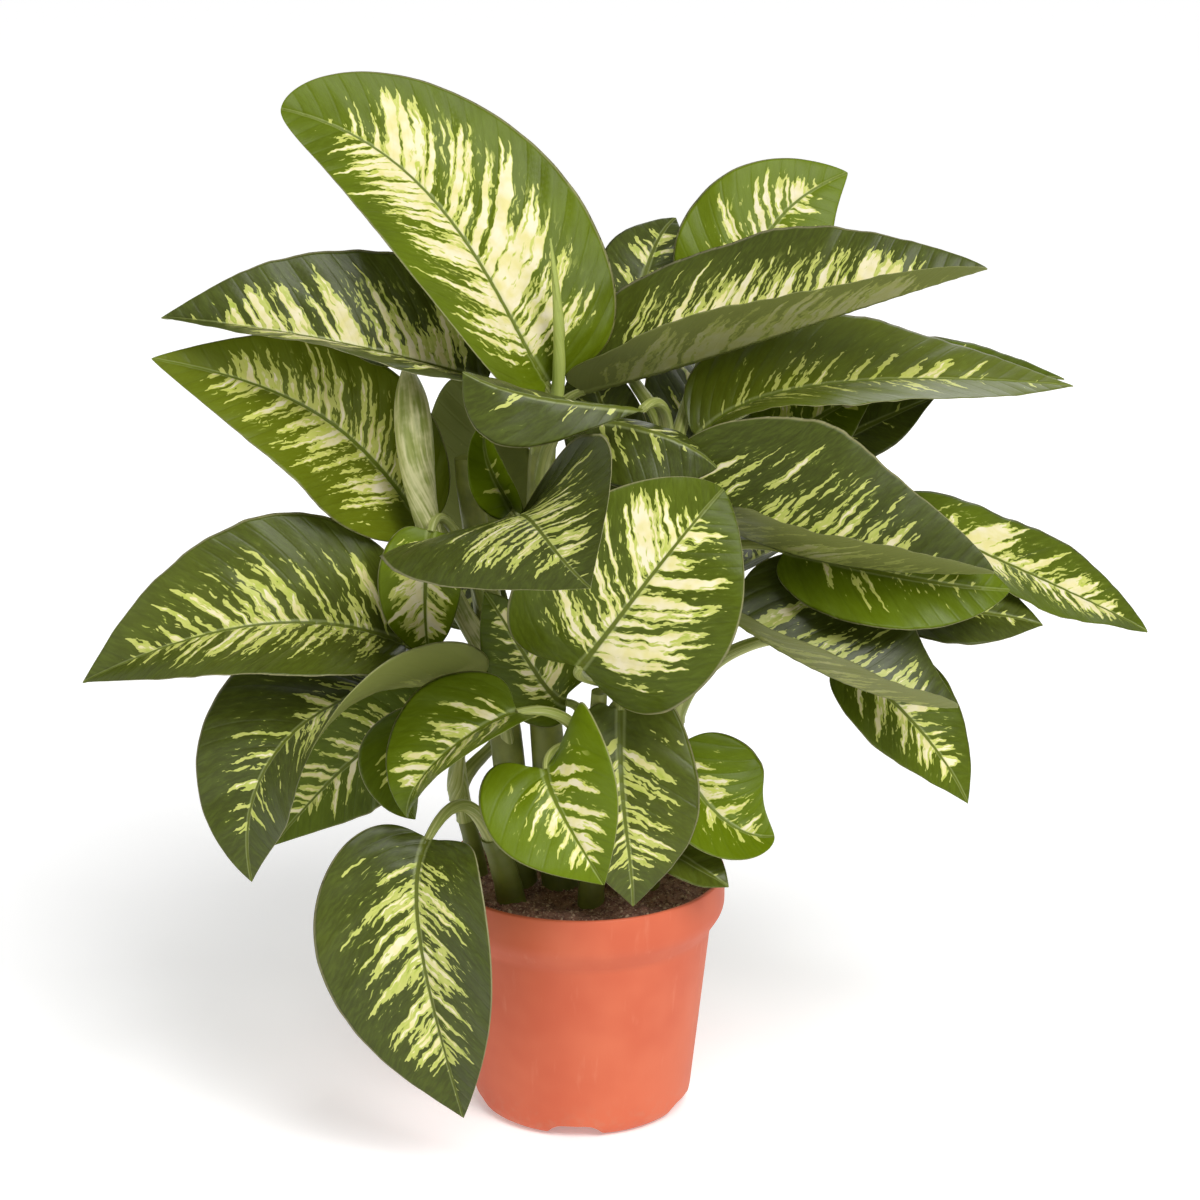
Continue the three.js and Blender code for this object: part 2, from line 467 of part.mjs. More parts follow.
function makePot() {
  const { height, rimRadius, rimWall, neckRadius, footRadius, footCorner, wall, innerFloor } = pot;
  const bandHeight = height - pot.rimBand;
  const neckHeight = bandHeight - pot.shoulderDrop;
  const round = pot.edgeRound;
  const profile = [new THREE.Vector2(0, 0)];
  for (let i = 0; i <= pot.cornerSteps; i += 1) {
    const turn = (Math.PI / 2) * (i / pot.cornerSteps);
    const radius = footRadius - footCorner * (1 - Math.sin(turn));
    profile.push(new THREE.Vector2(radius, footCorner * (1 - Math.cos(turn))));
  }
  profile.push(new THREE.Vector2(neckRadius, neckHeight));
  profile.push(new THREE.Vector2(rimRadius - round, bandHeight));
  profile.push(new THREE.Vector2(rimRadius, bandHeight + 2 * round));
  profile.push(new THREE.Vector2(rimRadius, height - round));
  profile.push(new THREE.Vector2(rimRadius - round, height));
  profile.push(new THREE.Vector2(rimRadius - rimWall, height - round / 2));
  profile.push(new THREE.Vector2(rimRadius - rimWall - round, bandHeight));
  profile.push(new THREE.Vector2(neckRadius - wall, neckHeight));
  profile.push(new THREE.Vector2(footRadius - wall, innerFloor + pot.floorCorner));
  profile.push(new THREE.Vector2(footRadius - footCorner, innerFloor));
  profile.push(new THREE.Vector2(0, innerFloor));
  const shell = new THREE.LatheGeometry(profile, pot.sides);
  shell.rotateX(Math.PI / 2);
  let solid = toSolid(shell);
  const bottomHalf = drain.bottomWidth / 2;
  const topHalf = drain.topWidth / 2;
  for (let i = 0; i < drain.count; i += 1) {
    const arch = new THREE.Shape();
    arch.moveTo(-bottomHalf, -drain.below);
    arch.lineTo(bottomHalf, -drain.below);
    arch.quadraticCurveTo(topHalf + drain.flare, 0, topHalf, drain.height);
    arch.lineTo(-topHalf, drain.height);
    arch.quadraticCurveTo(-topHalf - drain.flare, 0, -bottomHalf, -drain.below);
    const cut = { depth: drain.depth, bevelEnabled: false, curveSegments: 3 };
    const notch = new THREE.ExtrudeGeometry(arch, cut);
    notch.rotateX(Math.PI / 2);
    notch.rotateZ(Math.PI / 2);
    notch.translate(footRadius - drain.inset, 0, 0);
    notch.rotateZ(THREE.MathUtils.degToRad(drain.firstAngle + (360 / drain.count) * i));
    solid = solid.subtract(toSolid(notch));
  }
  return finish('pot', toGeometry(solid), potPlastic);
}

// The soil fills the pot, with a low uneven mound on top and a plain hole for the foot of each stem.
function makeSoil() {
  const bandHeight = pot.height - pot.rimBand;
  const bottom = pot.innerFloor + soil.gap;
  const topRadius = pot.rimRadius - pot.rimWall - pot.edgeRound - soil.gap;
  const profile = [
    new THREE.Vector2(0, bottom),
    new THREE.Vector2(pot.footRadius - pot.footCorner - soil.gap, bottom),
    new THREE.Vector2(pot.footRadius - pot.wall - soil.gap, bottom + pot.floorCorner),
    new THREE.Vector2(pot.neckRadius - pot.wall - soil.gap, bandHeight - pot.shoulderDrop),
    new THREE.Vector2(topRadius, bandHeight),
  ];
  for (let i = 0; i <= soil.rings; i += 1) {
    profile.push(new THREE.Vector2(topRadius * (1 - i / soil.rings), soil.top));
  }
  const body = new THREE.LatheGeometry(profile, soil.sides);
  const position = body.attributes.position;
  for (let i = 0; i < position.count; i += 1) {
    const [x, height, z] = [position.getX(i), position.getY(i), position.getZ(i)];
    if (height < bandHeight + 1) continue;
    const inward = 1 - (x * x + z * z) / (topRadius * topRadius);
    const crossed = Math.sin(x / lumps.across) * Math.cos(z / lumps.deep);
    const uneven = crossed + Math.sin((x + 2 * z) / lumps.slanted);
    const mound = soil.mound * inward * (1 + lumps.onMound * uneven);
    position.setY(i, height + mound + lumps.height * uneven);
  }
  body.rotateX(Math.PI / 2);
  let solid = toSolid(body);
  for (const name of Object.keys(stems)) {
    const place = (t) => throughFour(stems[name].path, t - probe.step);
    const radiusAt = (t) => stemRadius(name, t) + soil.holeGap;
    solid = solid.subtract(toSolid(sweepTube(place, radiusAt, stem.sides, stem.steps)));
  }
  return finish('soil', toGeometry(solid), soilPeat);
}

const plant = new THREE.Group();
plant.add(makePot());
plant.add(makeSoil());
for (const name of Object.keys(stems)) plant.add(makeStem(name));
for (const leaf of leaves) plant.add(finish(`leaf_${leaf.name}`, makeBlade(leaf), leaf.tone));

export default plant;
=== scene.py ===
import math

import bmesh
import bpy
from mathutils import Matrix, Vector, noise


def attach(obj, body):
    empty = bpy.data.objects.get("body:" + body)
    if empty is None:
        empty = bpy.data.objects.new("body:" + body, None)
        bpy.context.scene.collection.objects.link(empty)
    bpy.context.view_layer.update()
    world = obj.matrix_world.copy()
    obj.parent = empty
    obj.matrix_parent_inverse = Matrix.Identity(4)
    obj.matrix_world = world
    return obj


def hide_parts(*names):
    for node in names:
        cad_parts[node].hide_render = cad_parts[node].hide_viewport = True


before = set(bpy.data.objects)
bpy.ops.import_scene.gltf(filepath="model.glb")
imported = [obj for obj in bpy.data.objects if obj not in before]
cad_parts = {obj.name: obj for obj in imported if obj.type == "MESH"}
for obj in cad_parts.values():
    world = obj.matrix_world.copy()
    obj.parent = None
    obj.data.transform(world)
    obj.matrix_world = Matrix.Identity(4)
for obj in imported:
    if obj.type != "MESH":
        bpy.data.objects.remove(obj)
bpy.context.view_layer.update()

mm = 0.001  # the sizes below are in millimetres, as a grower would measure them


# node maths: a socket that can be added, multiplied and compared like a number

class Wire:
    def __init__(self, tree, socket=None):
        self.tree = tree
        self.socket = socket

    def make(self, kind, settings=None, values=None, out=0):
        node = self.tree.nodes.new(kind)
        for name, value in (settings or {}).items():
            setattr(node, name, value)
        for name, value in (values or {}).items():
            if isinstance(value, Wire):
                self.tree.links.new(value.socket, node.inputs[name])
            else:
                node.inputs[name].default_value = value
        return Wire(self.tree, node.outputs[out] if len(node.outputs) else None)

    def out(self, name):
        return Wire(self.tree, self.socket.node.outputs[name])

    def vectors(self, operation, *values, out=0):
        return self.make("ShaderNodeVectorMath", {"operation": operation}, dict(enumerate(values)), out)

    def maths(self, operation, a, b=0.0):
        if operation == "MULTIPLY" and isVector(a) != isVector(b):
            longer, factor = (a, b) if isVector(a) else (b, a)
            return self.make("ShaderNodeVectorMath", {"operation": "SCALE"}, {0: longer, "Scale": factor})
        if isVector(a) or isVector(b):
            return self.vectors(operation, a, b)
        return self.make("ShaderNodeMath", {"operation": operation}, {0: a, 1: b})

    def __add__(self, other):
        return self.maths("ADD", self, other)

    def __radd__(self, other):
        return self.maths("ADD", other, self)

    def __sub__(self, other):
        return self.maths("SUBTRACT", self, other)

    def __rsub__(self, other):
        return self.maths("SUBTRACT", other, self)

    def __mul__(self, other):
        return self.maths("MULTIPLY", self, other)

    def __rmul__(self, other):
        return self.maths("MULTIPLY", other, self)

    def __truediv__(self, other):
        return self.maths("DIVIDE", self, other)

    def __pow__(self, other):
        return self.maths("POWER", self, other)

    def __gt__(self, other):
        return self.maths("GREATER_THAN", self, other)

    def __abs__(self):
        return self.maths("ABSOLUTE", self)

    def most(self, other):
        return self.maths("MAXIMUM", self, other)

    def sine(self):
        return self.maths("SINE", self)

    def cosine(self):
        return self.maths("COSINE", self)

    def fraction(self):
        return self.maths("FRACT", self)

    def unit(self):
        return self.vectors("NORMALIZE", self)

    def dot(self, other):
        return self.vectors("DOT_PRODUCT", self, other, out=1)

    def cross(self, other):
        return self.vectors("CROSS_PRODUCT", self, other)

    def parts(self):
        split = self.make("ShaderNodeSeparateXYZ", values={0: self})
        return split, split.out("Y"), split.out("Z")

    def together(self, x, y, z=0.0):
        return self.make("ShaderNodeCombineXYZ", values={0: x, 1: y, 2: z})

    def mixed(self, kind, factor, a, b):
        first, out = {"FLOAT": (2, 0), "VECTOR": (4, 1), "RGBA": (6, 2)}[kind]  # input and output
        return self.make("ShaderNodeMix", {"data_type": kind}, {0: factor, first: a, first + 1: b}, out)

    def blend(self, a, b):
        return self.mixed("VECTOR" if isVector(a) or isVector(b) else "FLOAT", self, a, b)

    def tints(self, a, b):
        return self.mixed("RGBA", self, tint(a), tint(b))

    def paint(self, factor, other):
        return self.mixed("RGBA", factor, self, tint(other))

    def smooth(self, low, high):
        values = {"Value": self, "From Min": low, "From Max": high}
        return self.make("ShaderNodeMapRange", {"interpolation_type": "SMOOTHSTEP"}, values)

    def noise(self, detail=2.0, roughness=0.5):
        values = {"Vector": self, "Scale": 1.0, "Detail": detail, "Roughness": roughness}
        return self.make("ShaderNodeTexNoise", values=values)


def isVector(value):
    if isinstance(value, Wire):
        return value.socket.type == "VECTOR"
    return not isinstance(value, (int, float))


def tint(colour):
    if isinstance(colour, Wire):
        return colour
    channels = [int(colour[i:i + 2], 16) / 255 for i in (1, 3, 5)]
    return (*[c / 12.92 if c < 0.04045 else ((c + 0.055) / 1.055) ** 2.4 for c in channels], 1.0)


# Geometry Nodes: a tree with named inputs, and the plain mesh that it makes

def newTree(name, inputs):
    tree = bpy.data.node_groups.new(name, "GeometryNodeTree")
    tree.interface.new_socket("Geometry", in_out="OUTPUT", socket_type="NodeSocketGeometry")
    for label, kind in inputs.items():
        tree.interface.new_socket(label, in_out="INPUT", socket_type="NodeSocket" + kind)
    start = Wire(tree).make("NodeGroupInput")
    return start, {label: start.out(label) for label in inputs}


def endTree(start, geometry, material):
    real = start.make("GeometryNodeRealizeInstances", values={0: geometry})
    made = start.make("GeometryNodeSetMaterial", values={0: real, "Material": material})
    start.make("NodeGroupOutput", values={0: made})
    return start.tree


def store(start, geometry, name, value, kind="FLOAT_VECTOR", domain="POINT"):
    settings, values = {"data_type": kind, "domain": domain}, {0: geometry, "Name": name, "Value": value}
    return start.make("GeometryNodeStoreNamedAttribute", settings, values)


def stored(start, name, kind="FLOAT_VECTOR"):
    return start.make("GeometryNodeInputNamedAttribute", {"data_type": kind}, {"Name": name})


def moved(start, geometry, offset):
    return start.make("GeometryNodeSetPosition", values={0: geometry, "Offset": offset})


def gathered(start, *layers):
    whole = start.make("GeometryNodeJoinGeometry")
    for layer in layers:
        start.tree.links.new(layer.socket, whole.socket.node.inputs[0])
    return whole


def newObject(name, data):
    made = bpy.data.objects.new(name, data)
    bpy.context.scene.collection.objects.link(made)
    return made


def applied(made, modifier):
    graph = bpy.context.evaluated_depsgraph_get()
    result = bpy.data.meshes.new_from_object(made.evaluated_get(graph), depsgraph=graph)
    made.modifiers.remove(modifier)
    made.data = result
    return result


def finished(mesh, material):
    mesh.materials.clear()
    mesh.materials.append(material)
    mesh.polygons.foreach_set("material_index", [0] * len(mesh.polygons))


def grow(name, tree, values, mesh=None):
    made = newObject(name, mesh or bpy.data.meshes.new(name))
    modifier = made.modifiers.new("nodes", "NODES")
    modifier.node_group = tree
    for item in tree.interface.items_tree:
        if item.item_type == "SOCKET" and item.in_out == "INPUT" and item.name in values:
            value = values[item.name]
            modifier[item.identifier] = float(value) if item.socket_type == "NodeSocketFloat" else value
    result = applied(made, modifier)
    result.name = name
    finished(result, values["Finish"])
    return made


def joined(name, pieces):
    whole = newObject(name, bpy.data.meshes.new(name))
    with bpy.context.temp_override(active_object=whole, selected_editable_objects=[whole, *pieces]):
        bpy.ops.object.join()
    return whole


def handOver(piece, slot, *nodes):
    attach(piece, "root")
    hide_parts(*nodes)


# finishes; the numbers beside a noise count its grains in a metre

def newMaterial(name):
    material = bpy.data.materials.new(name)
    material.use_nodes = True
    tree = material.node_tree
    return material, Wire(tree), tree.nodes["Principled BSDF"]


def feed(shader, name, wire):
    wire.tree.links.new(wire.socket, shader.inputs[name])


def attribute(start, name):
    return start.make("ShaderNodeAttribute", {"attribute_name": name}, out="Vector")


def objectPoint(start):
    return start.make("ShaderNodeTexCoord", out="Object")


def bumped(start, shader, height, distance, strength):
    values = {"Height": height, "Distance": distance, "Strength": strength}
    feed(shader, "Normal", start.make("ShaderNodeBump", values=values))


sideVein = {"lean": 0.7, "bow": 2.4, "step": 11 * mm}  # its slant and curve, and how far to the next
streaks = {
    "cloud": 22.0, "waver": 80.0, "waverDepth": 8 * mm,
    # grains across a streak and along it, and a seed
    "broad": (180.0, 16.0, 0.0), "fine": (350.0, 150.0, 5.0), "speck": (420.0, 150.0, 9.0),
    "broadWeight": 1.5, "fineWeight": 0.6, "cloudWeight": 0.25, "edge": 0.012,
    "limit": 0.32, "cover": 0.44, "bareMargin": 0.6,  # higher limits leave more green
    "starts": (0.02, 0.2), "stops": (0.76, 0.97),  # along the leaf, from its base
    "rightSeed": 3.7,
}
midrib = {"base": 1.9 * mm, "narrows": 1.4 * mm}


def veinLine(along, width):  # the same all along one side vein
    return along - sideVein["lean"] * width - sideVein["bow"] * width * width


def leafFinish(name, dark, fresh, sheen, gloss):
    material, start, shader = newMaterial(name)
    t, v, top = attribute(start, "leafPlace").parts()
    along, across, seed = attribute(start, "leafMetres").parts()
    coverage, freshness, cream = attribute(start, "leafLook").parts()
    side = abs(v)
    width = abs(across)
    half = (across > 0.0) * streaks["rightSeed"] + seed
    vein = veinLine(along, width)

    # streaks that run out from the midrib with the side veins, and flecks between them
    def pattern(kind):
        perStep, perWidth, ownSeed = streaks[kind]
        return start.together(bent * perStep, width * perWidth, half + ownSeed)

    warp = start.together(along * streaks["waver"], across * streaks["waver"], seed).noise(2.0, 0.6) - 0.5
    bent = vein + warp * streaks["waverDepth"]
    broad = pattern("broad").noise(1.0) - 0.5
    fine = pattern("fine").noise(2.0, 0.6) - 0.5
    speck = pattern("speck").noise(2.0, 0.6)
    cloud = start.together(along * streaks["cloud"], across * streaks["cloud"], seed).noise()
    ends = t.smooth(*streaks["starts"]) * (1.0 - t.smooth(*streaks["stops"]))
    limit = streaks["limit"] - coverage * ends * streaks["cover"] + side * side * streaks["bareMargin"]
    finger = broad * streaks["broadWeight"] + fine * streaks["fineWeight"]
    finger = finger + (cloud - 0.5) * streaks["cloudWeight"] - limit
    streak = finger.smooth(-streaks["edge"], streaks["edge"])
    core = (finger + speck * 0.2 - 0.1).smooth(0.2 - 0.14 * cream, 0.27 - 0.14 * cream)
    fleck = (speck - (0.80 - 0.2 * coverage * ends)).smooth(0.0, 0.03)
    pale = streak.most(fleck * (1.0 - side.smooth(0.5, 0.8)) * 0.8)

    # the green under them
    shade = (freshness + (cloud - 0.5) * 0.6).smooth(0.0, 1.0)
    # painted shade: ribbing is lowest on each side vein, and the green is darkened a little there as if
    # shade lay in the sunken vein grooves
    ribbing = abs((vein / sideVein["step"]).fraction() - 0.5).smooth(0.0, 0.14)
    green = shade.tints(dark, fresh).paint(0.08 * (1.0 - ribbing), "#22260c")
    green = green.paint((speck - 0.5).smooth(-0.2, 0.3) * 0.16, "#7d9430")
    yellow = freshness.tints("#a8b84a", "#cbd257").paint((fine + 0.1).smooth(-0.15, 0.2) * 0.6, "#d3d27c")
    colour = (pale * 0.92).tints(green, yellow)
    colour = colour.paint(core, warp.smooth(-0.2, 0.2).tints("#dfd692", "#ece2c2"))

    # the midrib, the thin pale margin and the duller underside
    ribWidth = midrib["base"] - midrib["narrows"] * t
    rib = 1.0 - width.smooth(ribWidth * 0.7, ribWidth * 1.3)
    beside = (1.0 - width.smooth(ribWidth * 1.4, ribWidth * 2.4)) * 0.3
    colour = colour.paint(beside, "#b7c07c").paint(rib, freshness.tints("#5c6420", "#6a7a1e"))
    colour = colour.paint(side.smooth(0.972, 0.992) * 0.6, "#bdb78a")
    back = colour.paint(0.76, "#7e8444")
    feed(shader, "Base Color", top.smooth(0.35, 0.65).tints(back, colour))

    feed(shader, "Roughness", sheen + (cloud - 0.5) * 0.18 + (1.0 - top) * 0.2 + core * 0.08)
    shader.inputs["Specular IOR Level"].default_value = gloss
    skin = start.together(vein * 900.0, width * 500.0, half).noise()
    bumped(start, shader, skin * 0.4 + ribbing * 0.6, 0.3 * mm, 0.5)
    return material


def stemFinish():
    material, start, shader = newMaterial("stemGreen")
    length, around, kind = attribute(start, "stalkPlace").parts()  # as in tubes
    point = objectPoint(start)
    mottle = (point * 60.0).noise(3.0, 0.6)
    fine = start.together(around * 30.0, length * 40.0, kind).noise(3.0)
    long = start.together(around * 14.0, length * 9.0, kind * 5.0).noise()
    height = point.parts()[2].smooth(0.15, 0.3)
    cane = height.tints("#6b7424", "#8a8f40").paint(mottle.smooth(0.35, 0.7) * 0.5, "#4c5620")
    stalkGreen = long.smooth(0.35, 0.7).tints("#848f3c", "#b2b66c")
    stalkGreen = stalkGreen.paint(fine.smooth(0.55, 0.7) * 0.45, "#e3e2b4")
    pale = kind.smooth(1.1, 1.2) * (fine * 0.5 + mottle * 0.5).smooth(0.4, 0.6)
    colour = kind.smooth(0.2, 0.5).tints(cane, stalkGreen.paint(pale * 0.8, "#dcd8a2"))
    colour = colour.paint(attribute(start, "stalkScar").parts()[0] * 0.15, "#7c7440")
    colour = colour.paint(kind.smooth(1.5, 1.8), fine.tints("#8b9c3e", "#b4be66"))
    feed(shader, "Base Color", colour)
    feed(shader, "Roughness", 0.38 + 0.2 * fine)
    bumped(start, shader, fine * 0.5 + mottle * 0.5, 0.4 * mm, 0.5)
    return material


def potFinish():
    material, start, shader = newMaterial("terracottaPlastic")
    point = objectPoint(start)
    x, y, z = point.parts()
    cloud = (point * 12.0).noise(3.0, 0.6)
    rubbed = start.together(x * 90.0, y * 90.0, z * 14.0).noise(4.0, 0.65)
    colour = cloud.smooth(0.3, 0.7).tints("#c95d3c", "#d46c49")
    colour = colour.paint(rubbed.smooth(0.58, 0.75) * 0.2, "#e39a7e")
    dust = (1.0 - z.smooth(0.0, 0.03)) * (point * 160.0).noise(3.0).smooth(0.45, 0.7)
    feed(shader, "Base Color", colour.paint(dust * 0.25, "#b98a70"))
    feed(shader, "Roughness", 0.5 + 0.16 * rubbed)
    shader.inputs["Specular IOR Level"].default_value = 0.4
    bumped(start, shader, (point * 900.0).noise() * 0.5 + rubbed * 0.5, 0.2 * mm, 0.4)
    return material


def soilFinish():
    material, start, shader = newMaterial("pottingSoil")
    point = objectPoint(start)
    lump = (point * 150.0).noise(3.0, 0.65)
    grit = (point * 620.0).noise(3.0, 0.6)
    colour = lump.smooth(0.35, 0.65).tints("#6a4638", "#9a7160")
    colour = colour.paint(grit.smooth(0.54, 0.66) * 0.7, "#c4a68e")
    own = attribute(start, "crumbTone").parts()[0]
    colour = colour.paint(own.smooth(0.66, 0.72) * 0.8, "#ccb094")
    colour = colour.paint((1.0 - own.smooth(0.1, 0.25)) * 0.3, "#3d2820")
    feed(shader, "Base Color", colour)
    feed(shader, "Roughness", 0.86 + 0.12 * grit)
    bumped(start, shader, grit, 1.2 * mm, 0.8)
    return material


# the leaves, each on its stem at the height where its stalk starts
# half: half widths, left and right as seen from the base; lobe: how far the base's corners sweep back
# widest: higher brings the widest place nearer the tip; blunt: lower gives a blunter tip
# rib: four points of the midrib; face, tipFace: the way the upper side looks, and where it looks at the tip
# sides, or left and right: lift from the face and bend in degrees, and both again at the tip if it differs
# wave: height, count and start of the margin's waves; look: streak cover, freshness and cream
# rise, arch: how far the stalk follows its stem, and the midrib's line; bow: two points that it bends round
# sheath, slim, swell: the stalk's radius at its foot and head, and what it gains between them

usualLeaf = {
    "slot": "mature", "sides": (10, 0), "widest": 0.78, "blunt": 0.45, "lobe": 0.3,
    "rise": 0.45, "arch": 0.35, "sheath": 7, "slim": 2.8,
}


def leafOn(stem, root, **shape):
    return usualLeaf | {"stem": stem, "root": root} | shape


